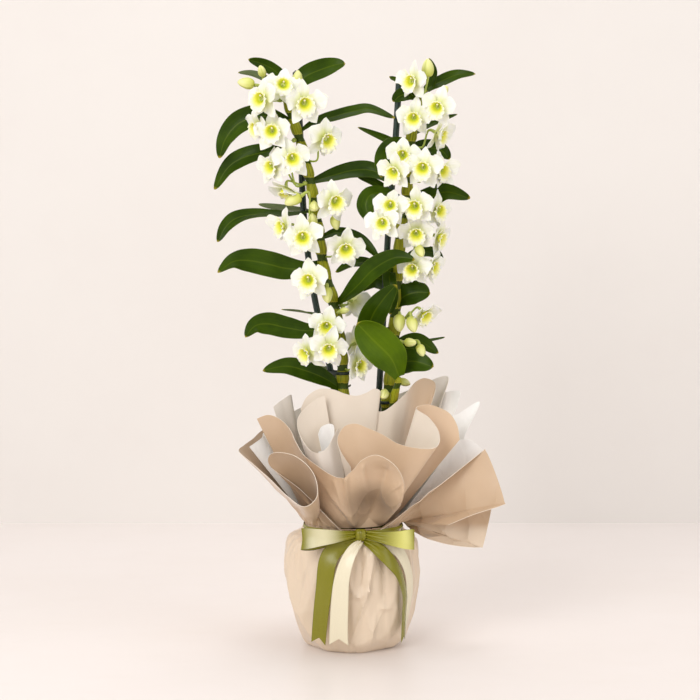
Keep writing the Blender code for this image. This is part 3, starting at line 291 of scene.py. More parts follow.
def eased(table: Sequence[tuple[float, float]], places: Array) -> Array:
    """Values on a smooth line through a short table.

    Args:
        table: (place, value) pairs with rising places.
        places: where the line is read.

    Returns:
        One value for each place.
    """
    known, values = np.array(table, float).T
    slopes = np.gradient(values, known)
    index = np.clip(np.searchsorted(known, places, side="right") - 1, 0, len(known) - 2)
    width = known[index + 1] - known[index]
    t = np.clip((places - known[index]) / width, 0, 1)
    return ((2 * t ** 3 - 3 * t ** 2 + 1) * values[index] + (t ** 3 - 2 * t ** 2 + t) * width * slopes[index]
            + (3 * t ** 2 - 2 * t ** 3) * values[index + 1] + (t ** 3 - t ** 2) * width * slopes[index + 1])


def step(low: float, high: float, places: Array) -> Array:
    """A smooth rise from 0 at low to 1 at high."""
    t = np.clip((places - low) / (high - low), 0, 1)
    return t * t * (3 - 2 * t)


@dataclass
class Course:
    """A smooth curve through points in millimetres."""

    points: Array
    closed: bool = False

    def at(self, places: Array) -> Array:
        """Points on the curve.

        Args:
            places: how far along, from 0 at the first point to 1 at the last.

        Returns:
            One point for each place.
        """
        known = np.asarray(self.points, float)
        count = len(known)
        spans = count if self.closed else count - 1
        along = np.asarray(places, float) * spans
        if not self.closed:
            along = np.clip(along, 0, spans)
        index = np.floor(along).astype(int)
        if not self.closed:
            index = np.minimum(index, spans - 1)
        part = (along - index)[:, None]
        picks = [index - 1, index, index + 1, index + 2]
        if self.closed:
            picks = [pick % count for pick in picks]
        else:
            picks = [np.clip(pick, 0, count - 1) for pick in picks]
        before, start, end, after = (known[pick] for pick in picks)
        return 0.5 * (2 * start + (end - before) * part
                      + (2 * before - 5 * start + 4 * end - after) * part ** 2
                      + (3 * start - before - 3 * end + after) * part ** 3)

    def frames(self, places: Array) -> tuple[Array, Array, Array]:
        """Points, tangents and steady sideways directions along the curve.

        Args:
            places: rising places from 0 to 1.

        Returns:
            The points, the tangents, and normals that turn no more than the curve does.
        """
        reach = 0.01
        spots = self.at(places)
        tangents = unit(self.at(np.minimum(places + reach, 1)) - self.at(np.maximum(places - reach, 0)))
        normal = UP if abs(tangents[0][2]) < UPRIGHT else np.array((0.0, -1.0, 0.0))
        normals = []
        for tangent in tangents:
            normal = unit(normal - tangent * normal.dot(tangent))
            normals.append(normal)
        return spots, tangents, np.array(normals)

    def place_at(self, height: float) -> float:
        """How far along a rising curve a height is reached, from 0 to 1."""
        low, high = 0.0, 1.0
        for _ in range(HALVINGS):
            middle = (low + high) / 2
            if self.at(np.array([middle]))[0][2] < height:
                low = middle
            else:
                high = middle
        return low

    def at_height(self, height: float) -> Array:
        """The point of a rising curve at a height."""
        return self.at(np.array([self.place_at(height)]))[0]


def tube_form(course: Course, radius: Callable[[Array, Array], Array]) -> Form:
    """A round skin along a curve.

    Args:
        course: the middle line.
        radius: the radius in millimetres at (round, along), both from 0 to 1.

    Returns:
        A form that places (round, along) on the skin.
    """
    def form(around: Array, along: Array) -> Array:
        levels, row = np.unique(along, return_inverse=True)
        spots, tangents, normals = course.frames(levels)
        sides = np.cross(tangents, normals)
        angle = math.tau * around
        way = np.cos(angle)[:, None] * normals[row] + np.sin(angle)[:, None] * sides[row]
        return spots[row] + radius(around, along)[:, None] * way
    return form


def face_axes(turn: float, tilt: float) -> tuple[Array, Array, Array]:
    """Right, up and forward for something that faces a way; turn 0 faces the viewer."""
    turn, tilt = math.radians(turn), math.radians(tilt)
    forward = np.array((math.sin(turn) * math.cos(tilt), -math.cos(turn) * math.cos(tilt), math.sin(tilt)))
    right = -unit(np.cross(forward, UP))
    return right, np.cross(forward, right), forward


# Meshes.

class Maker:
    """A mesh in the making, to which formed grids are added."""

    def __init__(self) -> None:
        """Start an empty mesh with one UV map."""
        self.shape = bmesh.new()
        self.pattern = self.shape.loops.layers.uv.new("pattern")

    def grid(self, columns: int, rows: int, form: Form, material: int = 0, span: tuple[float, float] = (1, 1),
             closed: bool = False, thickness: float = 0.0, back: int | None = None,
             rim: int | None = None) -> None:
        """Lay a grid and form it.

        Args:
            columns: faces across.
            rows: faces along.
            form: gives the point in millimetres for (across, along), each from 0 to 1.
            material: the slot of the front faces.
            span: what the UV map counts to, across and along.
            closed: whether edges and poles that meet are merged.
            thickness: millimetres that the sheet has behind its front, or none.
            back: the slot of the faces behind.
            rim: the slot of the cut edge.
        """
        made = bmesh.ops.create_grid(self.shape, x_segments=columns, y_segments=rows, size=0.5)
        verts = made["verts"]
        flat = np.array([vert.co[:2] for vert in verts]) + 0.5
        faces = list(dict.fromkeys(face for vert in verts for face in vert.link_faces))
        for face in faces:
            face.material_index = material
            face.smooth = True
            for loop in face.loops:
                spot = loop.vert.co
                loop[self.pattern].uv = ((spot.x + 0.5) * span[0], (spot.y + 0.5) * span[1])
        for vert, spot in zip(verts, form(flat[:, 0], flat[:, 1]) * MM):
            vert.co = spot
        if closed:
            bmesh.ops.remove_doubles(self.shape, verts=verts, dist=MERGE_REACH)
            faces = [face for face in faces if face.is_valid]
        if not thickness:
            return
        for face in faces:
            face.normal_update()
        facing = {}
        for vert in verts:
            if vert.is_valid:
                vert.normal_update()
                facing[vert.co[:]] = vert.normal.copy()
        made = bmesh.ops.solidify(self.shape, geom=faces, thickness=0)
        fresh = [item for item in made["geom"] if isinstance(item, bmesh.types.BMFace)]
        shell = set(fresh)
        behind = {item for item in made["geom"] if isinstance(item, bmesh.types.BMVert)}
        for vert in behind:
            vert.co = vert.co - facing[vert.co[:]] * thickness * MM
        for face in fresh:
            face.material_index = material if back is None else back
            face.smooth = True
        if rim is None:
            return
        for vert in behind:
            for face in vert.link_faces:
                if face not in shell:
                    face.material_index = rim

    def tube(self, points: Sequence, radius: Form, sides: int, rows: int, material: int = 0) -> None:
        """Lay a closed round skin along a curve, drawn to a point at both ends.

        Args:
            points: the curve's points in millimetres.
            radius: the radius at (round, along).
            sides: faces round.
            rows: faces along.
            material: the slot of the faces.
        """
        def shut(around: Array, along: Array) -> Array:
            ends = (along <= 0) | (along >= 1)
            return np.where(ends, 0.0, radius(around, along))
        self.grid(sides, rows, tube_form(Course(np.array(points, float)), shut), material, closed=True)

    def finish(self, name: str, materials: Sequence[bpy.types.Material],
               sharp: float = 50) -> bpy.types.Object:
        """Turn the mesh into an object at the origin.

        Args:
            name: the piece's name.
            materials: what its slots hold.
            sharp: the angle in degrees past which an edge is sharp.

        Returns:
            The object, linked to the scene.
        """
        mesh = bpy.data.meshes.new(f"dressed_{name}")
        self.shape.to_mesh(mesh)
        self.shape.free()
        for material in materials:
            mesh.materials.append(material)
        mesh.set_sharp_from_angle(angle=math.radians(sharp))
        made = bpy.data.objects.new(f"dressed_{name}", mesh)
        bpy.context.scene.collection.objects.link(made)
        return made


class Slot(Enum):
    """The record's material slots."""

    POT = "pot_plastic"
    BARK = "bark_mix"
    FOLIAGE = "foliage"
    STAKE = "stake_plastic"
    TIE = "tie_plastic"
    BLOOM = "bloom_white"
    WRAP = "wrap_paper"
    LINER = "liner_paper"
    TISSUE = "tissue_paper"
    OLIVE = "ribbon_olive"
    IVORY = "ribbon_ivory"


def place_piece(piece: bpy.types.Object, slot: Slot, *nodes: str) -> bpy.types.Object:
    """Set a piece in the frame and report it.

    Args:
        piece: the finished object.
        slot: the material slot that the piece belongs to; not used.
        nodes: the CAD nodes that it stands for.

    Returns:
        The same object.
    """
    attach(piece, BODY)
    if nodes:
        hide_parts(*nodes)
    LOG.info("%s: %d faces", piece.name, len(piece.data.polygons))
    return piece


# Materials.

def joined(operation: str, turned: bool = False) -> Callable[..., "Reading"]:
    """An operator or a function for readings.

    Args:
        operation: the Math node's operation.
        turned: whether the reading comes second, as in 1 - mask.

    Returns:
        A method that adds the node and reads it.
    """
    def method(self: "Reading", other: object = 0.0) -> "Reading":
        """Add the node and read it."""
        first, second = (other, self) if turned else (self, other)
        return self.surface.node("ShaderNodeMath", {"operation": operation}, {0: first, 1: second})
    return method


class Reading:
    """A number, colour or direction that changes over a surface; sums and products add Math nodes."""

    def __init__(self, surface: "Surface", socket: bpy.types.NodeSocket) -> None:
        """Wrap an output socket of a surface's nodes."""
        self.surface = surface
        self.socket = socket

    __add__ = joined("ADD")
    __radd__ = joined("ADD", True)
    __sub__ = joined("SUBTRACT")
    __rsub__ = joined("SUBTRACT", True)
    __mul__ = joined("MULTIPLY")
    __rmul__ = joined("MULTIPLY", True)

    # The sine of radians, what is left after the whole number, and the reading without its sign.
    wave = joined("SINE")
    part = joined("FRACT")
    size = joined("ABSOLUTE")

    def rise(self, low: float, high: float, start: float = 0.0, end: float = 1.0) -> "Reading":
        """A smooth change from start at low to end at high."""
        return self.surface.node("ShaderNodeMapRange", {"interpolation_type": "SMOOTHSTEP"},
                                 {0: self, 1: low, 2: high, 3: start, 4: end})


class Surface:
    """A material in the making, on a Principled shader."""

    def __init__(self, name: str) -> None:
        """Start a material with its shader and nothing else."""
        self.material = bpy.data.materials.new(name)
        self.material.use_nodes = True
        self.tree = self.material.node_tree
        self.shader = self.tree.nodes["Principled BSDF"]

    def node(self, kind: str, settings: dict | None = None, sockets: dict | None = None,
             output: int | str = 0) -> Reading:
        """Add any node.

        Args:
            kind: the node's type name.
            settings: its properties, and "stops" for a colour ramp, set first.
            sockets: its inputs by name or number, as values or readings.
            output: which output is read.

        Returns:
            The reading of that output.
        """
        made = self.tree.nodes.new(kind)
        for key, value in (settings or {}).items():
            if key == "stops":
                ramp = made.color_ramp
                while len(ramp.elements) < len(value):
                    ramp.elements.new(0.5)
                for element, (place, colour) in zip(ramp.elements, value):
                    element.position = place
                    element.color = (*colour, 1)
            else:
                setattr(made, key, value)
        for key, value in (sockets or {}).items():
            self.feed(made.inputs[key], value)
        return Reading(self, made.outputs[output])

    def feed(self, socket: bpy.types.NodeSocket, value: object) -> None:
        """Set a socket, or link a reading to it."""
        if isinstance(value, Reading):
            self.tree.links.new(value.socket, socket)
        elif isinstance(value, tuple) and socket.type == "RGBA":
            socket.default_value = (*value, 1)
        else:
            socket.default_value = value

    def mix(self, first: object, second: object, share: object) -> Reading:
        """A colour between two colours."""
        return self.node("ShaderNodeMix", {"data_type": "RGBA"}, {0: share, 6: first, 7: second}, 2)

    def place(self) -> Reading:
        """The place on the object in metres."""
        return self.node("ShaderNodeTexCoord", output="Object")

    def pattern(self) -> tuple[Reading, Reading, Reading]:
        """The UV map as a direction, and its two numbers."""
        whole = self.node("ShaderNodeUVMap", {"uv_map": "pattern"})
        return (whole, self.node("ShaderNodeSeparateXYZ", None, {0: whole}, 0),
                self.node("ShaderNodeSeparateXYZ", None, {0: whole}, 1))

    def stretched(self, where: Reading, scale: Point) -> Reading:
        """Places scaled differently along each axis."""
        return self.node("ShaderNodeMapping", None, {"Vector": where, "Scale": scale})

    def noise(self, where: Reading, scale: float, detail: float = 3.0, rough: float = 0.5) -> Reading:
        """A smooth random pattern from 0 to 1."""
        return self.node("ShaderNodeTexNoise", None,
                         {"Vector": where, "Scale": scale, "Detail": detail, "Roughness": rough})

    def bump(self, height: Reading, distance: float, strength: float = 1.0,
             under: Reading | None = None) -> Reading:
        """A normal raised by a height; distance is in millimetres."""
        sockets = {"Height": height, "Distance": distance * MM, "Strength": strength}
        if under is not None:
            sockets["Normal"] = under
        return self.node("ShaderNodeBump", None, sockets)

    def finish(self, sockets: dict) -> bpy.types.Material:
        """Feed the shader's sockets by name and give back the material."""
        for key, value in sockets.items():
            self.feed(self.shader.inputs[key], value)
        return self.material


@dataclass(frozen=True)
class PaperFinish:
    """Smooth wrapping paper: a matt pearl sheen, faint fibres and soft mottling; where given, painted shade
    darkens it round a pocket, and a second colour comes in along one axis.
    """

    name: str
    colour: Colour
    deep: Colour
    roughness: float = 0.38
    sheen: float = 0.25
    painted_shade_hollow: Point | None = None
    zone: tuple | None = None
    crumpled: bool = False

    def build(self) -> bpy.types.Material:
        """Make the material."""
        surface = Surface(self.name)
        place = surface.place()
        cloud = surface.noise(place, 26.0, 3.0)
        fibre = surface.noise(place, 900.0, 4.0, 0.65)
        crumple = surface.noise(place, 95.0, 2.0)
        tone = surface.mix(self.colour, self.deep, (cloud.rise(0.35, 0.75) * 0.55 + fibre * 0.25))
        # painted shade: near the pocket's centre the tone turns deep brown, within 36 mm
        if self.painted_shade_hollow:
            away = surface.node("ShaderNodeVectorMath", {"operation": "DISTANCE"},
                                {0: place, 1: self.painted_shade_hollow}, "Value")
            tone = surface.mix(tone, (0.20, 0.125, 0.07), away.rise(0.036, 0.012) * 0.94)
        # a second colour along one axis: on the wrap, painted light on the pot's side below the neck; on the
        # back panel, cream turning tan toward the right
        if self.zone:
            axis, low, high, other = self.zone
            spot = surface.node("ShaderNodeSeparateXYZ", None, {0: place}, axis)
            tone = surface.mix(tone, other, spot.rise(low, high) * (cloud * 0.2 + 0.85))
        normal = surface.bump(fibre, 0.05, 0.35, surface.bump(crumple, 0.35, 0.35))
        if self.crumpled:
            right = surface.node("ShaderNodeSeparateXYZ", None, {0: place}, 0)
            height = surface.node("ShaderNodeSeparateXYZ", None, {0: place}, 2)
            bowls = surface.node("ShaderNodeTexVoronoi", {"feature": "F1"},
                                 {"Vector": surface.stretched(place, (1, 1, 0.5)), "Scale": 44.0})
            where = height.rise(0.124, 0.114) + right.rise(0.056, 0.080) * height.rise(0.180, 0.145)
            if self.painted_shade_hollow:
                where = away.rise(0.050, 0.024)
            normal = surface.bump(bowls * bowls * where, 5.0, 1.0, normal)
        return surface.finish({
            "Base Color": tone,
            "Roughness": cloud * 0.14 + (self.roughness - 0.07),
            "Normal": normal,
            "Sheen Weight": self.sheen,
            "Sheen Roughness": 0.4,
            "Specular IOR Level": 0.45,
        })


@dataclass(frozen=True)
class TissueFinish:
    """Thin white tissue with fine creases."""

    name: str = "tissue_white"
    colour: Colour = (0.93, 0.91, 0.885)

    def build(self) -> bpy.types.Material:
        """Make the material."""
        surface = Surface(self.name)
        place = surface.place()
        creases = surface.node("ShaderNodeTexVoronoi", {"feature": "DISTANCE_TO_EDGE"},
                               {"Vector": surface.stretched(place, (1, 1, 0.5)), "Scale": 70.0})
        fibre = surface.noise(place, 700.0, 4.0, 0.6)
        tone = surface.mix(self.colour, (0.86, 0.835, 0.80), fibre * 0.6)
        return surface.finish({
            "Base Color": tone,
            "Roughness": fibre * 0.1 + 0.5,
            "Normal": surface.bump(creases.rise(0.0, 0.18), 0.4, 0.35, surface.bump(fibre, 0.05, 0.3)),
            "Subsurface Weight": 0.15,
            "Subsurface Radius": (0.002, 0.002, 0.002),
        })


@dataclass(frozen=True)
class SatinFinish:
    """Satin ribbon: fine threads across, woven edges and a soft broad shine, with painted sheen streaked into
    its colour and, where given, a painted highlight band.
    """

    name: str
    colour: Colour
    shine: Colour
    roughness: float = 0.26
    painted_highlight: tuple[float, ...] | None = None
    # the colour of the painted highlight band
    pale: Colour = (0.80, 0.74, 0.50)

    def build(self) -> bpy.types.Material:
        """Make the material."""
        surface = Surface(self.name)
        whole, across, along = surface.pattern()
        threads = (along * 1400.0).wave() * 0.5 + 0.5
        weft = (across * 190.0).wave() * 0.5 + 0.5
        slub = surface.noise(surface.stretched(whole, (4, 60, 1)), 6.0, 3.0)
        edge = (across - 0.5).size().rise(0.455, 0.475)
        # lighter streaks toward the shine colour: partly slub tone, partly painted sheen
        tone = surface.mix(self.colour, self.shine, slub.rise(0.3, 0.8) * 0.35)
        tone = surface.mix(tone, tuple(0.7 * part for part in self.colour), edge * 0.5)
        # painted highlight: a band part way along the ribbon mixed toward the pale colour
        if self.painted_highlight:
            low, middle, high = self.painted_highlight[:3]
            band = along.rise(low, middle) * along.rise(high, middle)
            tone = surface.mix(tone, self.pale, band * (slub * 0.4 + self.painted_highlight[3]))
        height = threads * 0.5 + weft * 0.3 + edge * 2.0
        return surface.finish({
            "Base Color": tone,
            "Roughness": slub * 0.12 + self.roughness - 0.06,
            "Normal": surface.bump(height, 0.05, 0.35),
            "Sheen Weight": 0.08,
            "Sheen Roughness": 0.35,
            "Sheen Tint": self.shine,
            "Specular IOR Level": 0.42,
        })


@dataclass(frozen=True)
class LeafFinish:
    """Glossy strap leaf: a paler midrib, parallel veins, a yellow edge and tip."""

    name: str
    dark: Colour
    light: Colour
    rib: Colour
    roughness: float = 0.36
    coat: float = 0.05

    def build(self) -> bpy.types.Material:
        """Make the material."""
        surface = Surface(self.name)
        whole, across, along = surface.pattern()
        veins = (across * 170.0).wave() * 0.5 + 0.5
        streak = surface.noise(surface.stretched(whole, (26, 1.4, 1)), 1.6, 4.0, 0.6)
        blotch = surface.noise(surface.place(), 38.0, 3.0)
        rib = (across - 0.5).size().rise(0.05, 0.0)
        edge = (across - 0.5).size().rise(0.465, 0.5)
        tip = along.rise(0.955, 1.0)
        tone = surface.mix(self.dark, self.light, streak * 0.65 + blotch.rise(0.3, 0.75) * 0.5 - 0.1)
        tone = surface.mix(tone, self.light, veins * 0.14)
        tone = surface.mix(tone, self.rib, rib * 0.4 + edge * 0.3)
        tone = surface.mix(tone, (0.42, 0.33, 0.03), tip * 0.8)
        height = veins * 0.5 + streak * 0.9 - rib * 1.4
        return surface.finish({
            "Base Color": tone,
            "Roughness": streak * 0.16 + self.roughness - 0.05,
            "Normal": surface.bump(height, 0.12, 0.4),
            "Coat Weight": self.coat,
            "Coat Roughness": 0.16,
            "Specular IOR Level": 0.08,
        })


@dataclass(frozen=True)
class CaneFinish:
    """Jointed cane: dark green node bands and yellow-green ribbed sheaths with jagged rims."""

    name: str = "cane_sheath"
    band: Colour = (0.030, 0.055, 0.002)
    sheath: Colour = (0.26, 0.275, 0.008)
    pale: Colour = (0.50, 0.48, 0.022)
    stain: Colour = (0.40, 0.25, 0.010)

    def build(self) -> bpy.types.Material:
        """Make the material."""
        surface = Surface(self.name)
        whole, _, along = surface.pattern()
        place = surface.place()
        ragged = surface.noise(surface.stretched(whole, (30, 0.6, 1)), 1.0, 2.0)
        ribs = surface.noise(surface.stretched(whole, (34, 0.35, 1)), 1.0, 3.0, 0.6)
        blotch = surface.noise(place, 60.0, 3.0)
        level = (along + ragged * 0.16).part()
        dark = level.rise(0.30, 0.36, 1.0, 0.0)
        joint = (level - 0.335).size().rise(0.03, 0.0)
        tone = surface.mix(self.sheath, self.pale, ribs.rise(0.45, 0.75))
        tone = surface.mix(tone, (0.075, 0.095, 0.004), ribs.rise(0.5, 0.28) * 0.85)
        tone = surface.mix(tone, self.stain, blotch.rise(0.6, 0.75) * 0.5)
        green = surface.mix(self.band, (0.062, 0.100, 0.004), ribs)
        tone = surface.mix(tone, green, dark)
        tone = surface.mix(tone, (0.62, 0.52, 0.07), joint * 0.7)
        return surface.finish({
            "Base Color": tone,
            "Roughness": ribs * 0.2 + 0.34,
            "Normal": surface.bump(ribs * 1.2 - dark * 1.0, 0.35, 0.7),
            "Specular IOR Level": 0.25,
        })


@dataclass(frozen=True)
class PetalFinish:
    """White petal: green-yellow toward its foot, faint long veins and a soft glow."""

    name: str = "petal_white"
    white: Colour = (0.93, 0.925, 0.86)
    foot: Colour = (0.74, 0.78, 0.20)
    vein: Colour = (0.80, 0.81, 0.69)

    def build(self) -> bpy.types.Material:
        """Make the material."""
        surface = Surface(self.name)
        whole, across, along = surface.pattern()
        veins = surface.noise(surface.stretched(whole, (16, 1.6, 1)), 1.4, 3.0, 0.55)
        lines = ((across - 0.5) * 62.0).wave() * 0.5 + 0.5
        middle = (across - 0.5).size().rise(0.22, 0.0)
        tone = surface.mix(self.white, self.vein, veins.rise(0.35, 0.8) * 0.55)
        tone = surface.mix(tone, self.foot,
                           along.rise(0.58, 0.0) * 0.85 + middle * along.rise(0.95, 0.3) * 0.14)
        return surface.finish({
            "Base Color": tone,
            "Roughness": veins * 0.15 + 0.42,
            "Normal": surface.bump(lines * 0.5 + veins, 0.16, 0.45),
            "Subsurface Weight": 0.3,
            "Subsurface Radius": (0.003, 0.003, 0.0018),
            "Sheen Weight": 0.1,
        })


@dataclass(frozen=True)
class LipFinish:
    """The trumpet lip: green deep inside, then yellow-green, and a white frilled rim."""

    name: str = "lip_throat"

    def build(self) -> bpy.types.Material:
        """Make the material."""
        surface = Surface(self.name)
        whole, around, along = surface.pattern()
        spots = surface.noise(surface.stretched(whole, (10, 5, 1)), 2.0, 3.0)
        top = 1.0 - (around - 0.5).size() * 2.0
        depth = along * (1.0 - top * 0.20) + (spots - 0.5) * 0.10
        tone = surface.node("ShaderNodeValToRGB", {"stops": (
            (0.0, (0.34, 0.44, 0.014)), (0.20, (0.58, 0.63, 0.02)), (0.42, (0.84, 0.83, 0.07)),
            (0.62, (0.93, 0.90, 0.30)), (0.78, (0.94, 0.93, 0.72)),
            (1.0, (0.93, 0.925, 0.86)))}, {0: depth})
        return surface.finish({
            "Base Color": tone,
            "Roughness": spots * 0.1 + 0.4,
            "Normal": surface.bump(spots, 0.15, 0.4),
            "Subsurface Weight": 0.45,
            "Subsurface Radius": (0.004, 0.004, 0.0015),
        })


@dataclass(frozen=True)
class StalkFinish:
    """Slender stalk and bud: pale yellow-green with long creases."""

    name: str
    low: Colour
    high: Colour
    crease: Colour

    def build(self) -> bpy.types.Material:
        """Make the material."""
        surface = Surface(self.name)
        whole, around, along = surface.pattern()
        ridges = (around * math.tau * 3.0).wave() * 0.5 + 0.5
        grain = surface.noise(surface.stretched(whole, (14, 2, 1)), 2.0, 3.0)
        tone = surface.mix(self.low, self.high, along.rise(0.0, 0.9))
        tone = surface.mix(tone, self.crease, ridges.rise(0.25, 0.0) * 0.5 + grain * 0.25)
        return surface.finish({
            "Base Color": tone,
            "Roughness": grain * 0.15 + 0.36,
            "Normal": surface.bump(grain, 0.15, 0.4),
            "Subsurface Weight": 0.15,
            "Subsurface Radius": (0.002, 0.002, 0.0008),
        })


@dataclass(frozen=True)
class PlasticFinish:
    """Moulded plastic with a fine grain."""

    name: str
    colour: Colour
    worn: Colour
    roughness: float
    grain: float = 700.0
    coat: float = 0.0

    def build(self) -> bpy.types.Material:
        """Make the material."""
        surface = Surface(self.name)
        place = surface.place()
        fine = surface.noise(place, self.grain, 3.0)
        wide = surface.noise(surface.stretched(place, (1, 1, 0.25)), 60.0, 3.0)
        return surface.finish({
            "Base Color": surface.mix(self.colour, self.worn, wide.rise(0.4, 0.8) * 0.6),
            "Roughness": wide * 0.2 + self.roughness - 0.1,
            "Normal": surface.bump(fine, 0.05, 0.3),
            "Coat Weight": self.coat,
            "Coat Roughness": 0.2,
        })


@dataclass(frozen=True)
class BarkFinish:
    """Orchid bark: reddish brown chips with darker grain."""

    name: str = "bark_chips"

    def build(self) -> bpy.types.Material:
        """Make the material."""
        surface = Surface(self.name)
        place = surface.place()
        grain = surface.noise(surface.stretched(place, (1, 1, 3)), 180.0, 5.0, 0.65)
        patch = surface.noise(place, 90.0, 2.0)
        tone = surface.mix((0.085, 0.040, 0.018), (0.27, 0.15, 0.075), grain.rise(0.3, 0.7))
        tone = surface.mix(tone, (0.035, 0.020, 0.012), patch.rise(0.5, 0.8))
        return surface.finish({
            "Base Color": tone,
            "Roughness": grain * 0.15 + 0.78,
            "Normal": surface.bump(grain, 0.8, 0.8),
        })


class Stock:
    """All the materials of the object, each made once."""

    def __init__(self) -> None:
        """Make every finish."""
        edge = (0.84, 0.74, 0.62)
        tan, tan_deep = (0.65, 0.475, 0.32), (0.58, 0.41, 0.26)
        # a darker copy of the tan for the reverse side: partly the paper's own reverse, partly painted shade
        # for the pockets inside the collar
        dark, dark_deep = (0.46, 0.32, 0.20), (0.37, 0.245, 0.145)
        cream, cream_deep = (0.80, 0.705, 0.595), (0.74, 0.635, 0.52)
        # painted light: the wrap is lighter on the pot's side below the neck than on its collar above
        pot_side_painted_light = (2, 0.126, 0.116, (0.80, 0.655, 0.50))
        self.paper_tan = PaperFinish("paper_tan", tan, tan_deep).build()
        self.paper_wrap = PaperFinish("paper_tan_wrap", (0.61, 0.44, 0.29), (0.54, 0.375, 0.235),
                                      zone=pot_side_painted_light, crumpled=True).build()
        # painted shade darkens the pocket under the front sheet's hump
        self.paper_front = PaperFinish("paper_tan_pocket_painted_shade", tan, tan_deep, painted_shade_hollow=(0.017, -0.074, 0.146),
                                       crumpled=True).build()
        # painted light: a lighter copy of the tan for the front sheet's outer face
        self.paper_lobe_painted_light = PaperFinish("paper_tan_lobe_painted_light", (0.73, 0.545, 0.375), (0.66, 0.475, 0.31)).build()
        self.paper_reverse_shaded = PaperFinish("paper_tan_reverse_painted_shade", dark, dark_deep).build()
        self.paper_cream = PaperFinish("paper_cream", cream, cream_deep, 0.38, 0.35).build()
        self.paper_panel = PaperFinish("paper_cream_panel", cream, cream_deep, 0.38, 0.35,
                                       zone=(0, 0.046, 0.066, tan)).build()
        self.paper_pearl = PaperFinish("paper_pearl", (0.88, 0.81, 0.73), (0.84, 0.76, 0.67), 0.34,
                                       0.4).build()
        # the cut edge is a lighter cream: a painted highlight along the paper's rims
        self.paper_edge_painted_highlight = PaperFinish("paper_cut_edge_painted_highlight", edge, edge, 0.6, 0.0).build()
        self.tissue = TissueFinish().build()
        olive, olive_shine = (0.190, 0.172, 0.005), (0.46, 0.45, 0.04)
        self.olive = SatinFinish("satin_olive", olive, olive_shine).build()
        # the loops carry a painted highlight, a pale band part way along each
        self.loop_left = SatinFinish("satin_loop_left", olive, olive_shine,
                                     painted_highlight=(0.10, 0.27, 0.48, 0.6)).build()
        self.loop_right = SatinFinish("satin_loop_right", olive, olive_shine, painted_highlight=(0.16, 0.36, 0.52, 0.55),
                                       pale=(0.84, 0.80, 0.24)).build()
        self.ivory = SatinFinish("satin_ivory", (0.80, 0.72, 0.52), (0.93, 0.89, 0.76)).build()
        self.leaf_top = LeafFinish("leaf_top", (0.010, 0.027, 0.0004), (0.050, 0.096, 0.0008),
                                   (0.12, 0.17, 0.006)).build()
        self.leaf_young = LeafFinish("leaf_young", (0.026, 0.062, 0.0005), (0.110, 0.185, 0.001),
                                     (0.17, 0.24, 0.008)).build()
        self.leaf_under = LeafFinish("leaf_under", (0.100, 0.135, 0.055), (0.160, 0.200, 0.095),
                                     (0.24, 0.28, 0.13), 0.45, 0.05).build()
        self.cane = CaneFinish().build()
        self.petal = PetalFinish().build()
        self.lip = LipFinish().build()
        self.stalk = StalkFinish("stalk_green", (0.34, 0.44, 0.045), (0.52, 0.58, 0.13),
                                 (0.24, 0.34, 0.03)).build()
        self.bud = StalkFinish("bud_pale", (0.60, 0.63, 0.08), (0.88, 0.87, 0.40),
                               (0.54, 0.58, 0.11)).build()
        self.column = StalkFinish("column_blush", (0.86, 0.86, 0.45), (0.95, 0.86, 0.74),
                                  (0.93, 0.80, 0.66)).build()
        self.stake = PlasticFinish("stake_green", (0.002, 0.022, 0.013), (0.004, 0.034, 0.024), 0.3, 500,
                                   0.25).build()
        self.tie = PlasticFinish("tie_dark", (0.008, 0.018, 0.012), (0.02, 0.035, 0.025), 0.42).build()
        self.pot = PlasticFinish("pot_black", (0.018, 0.019, 0.018), (0.035, 0.035, 0.033), 0.45).build()
        self.bark = BarkFinish().build()


# Stems, stakes and leaves.

def thinned(height: Array | float, top: float, start: float, end: float) -> Array | float:
    """A stem's radius at a height: it thins a little toward its top."""
    share = (height - STEM_FOOT) / (top - STEM_FOOT)
    return start + (end - start) * share ** 2


@dataclass
class Leaf:
    """One strap leaf, keeled along its midrib."""

    points: Sequence[Point]
    width: float
    rolls: Sequence[float]
    phase: float = 0.0
    outline: tuple = ((0.0, 0.30), (0.06, 0.36), (0.14, 0.52), (0.34, 0.92), (0.50, 1.0), (0.64, 0.97),
                      (0.80, 0.74), (0.90, 0.48), (0.97, 0.20), (1.0, 0.03))
    keel: float = 0.15
    thickness: float = 0.75

    def form(self, across: Array, along: Array) -> Array:
        """Points of the upper face for (across, along)."""
        levels, row = np.unique(along, return_inverse=True)
        spots, tangents, normals = Course(np.array(self.points, float)).frames(levels)
        roll = np.radians(np.interp(levels, np.linspace(0, 1, len(self.rolls)), self.rolls))[:, None]
        viewer = np.array((0.0, -1.0, 0.0))
        toward = viewer - tangents * (tangents @ viewer)[:, None]
        face = unit(np.cos(roll) * normals + np.sin(roll) * toward)
        edge = np.cross(tangents, face)
        half = self.width / 2 * eased(self.outline, along)
        s = 2 * across - 1
        dip = -self.keel * 2 * half * (1 - np.abs(s) ** 1.4)
        ripple = 0.05 * self.width * np.abs(s) ** 2 * np.sin(9 * along + self.phase + 1.7 * np.sign(s))
        lift = dip + ripple * step(0.1, 0.4, along) + self.thickness / 2
        return spots[row] + (s * half)[:, None] * edge[row] + lift[:, None] * face[row]


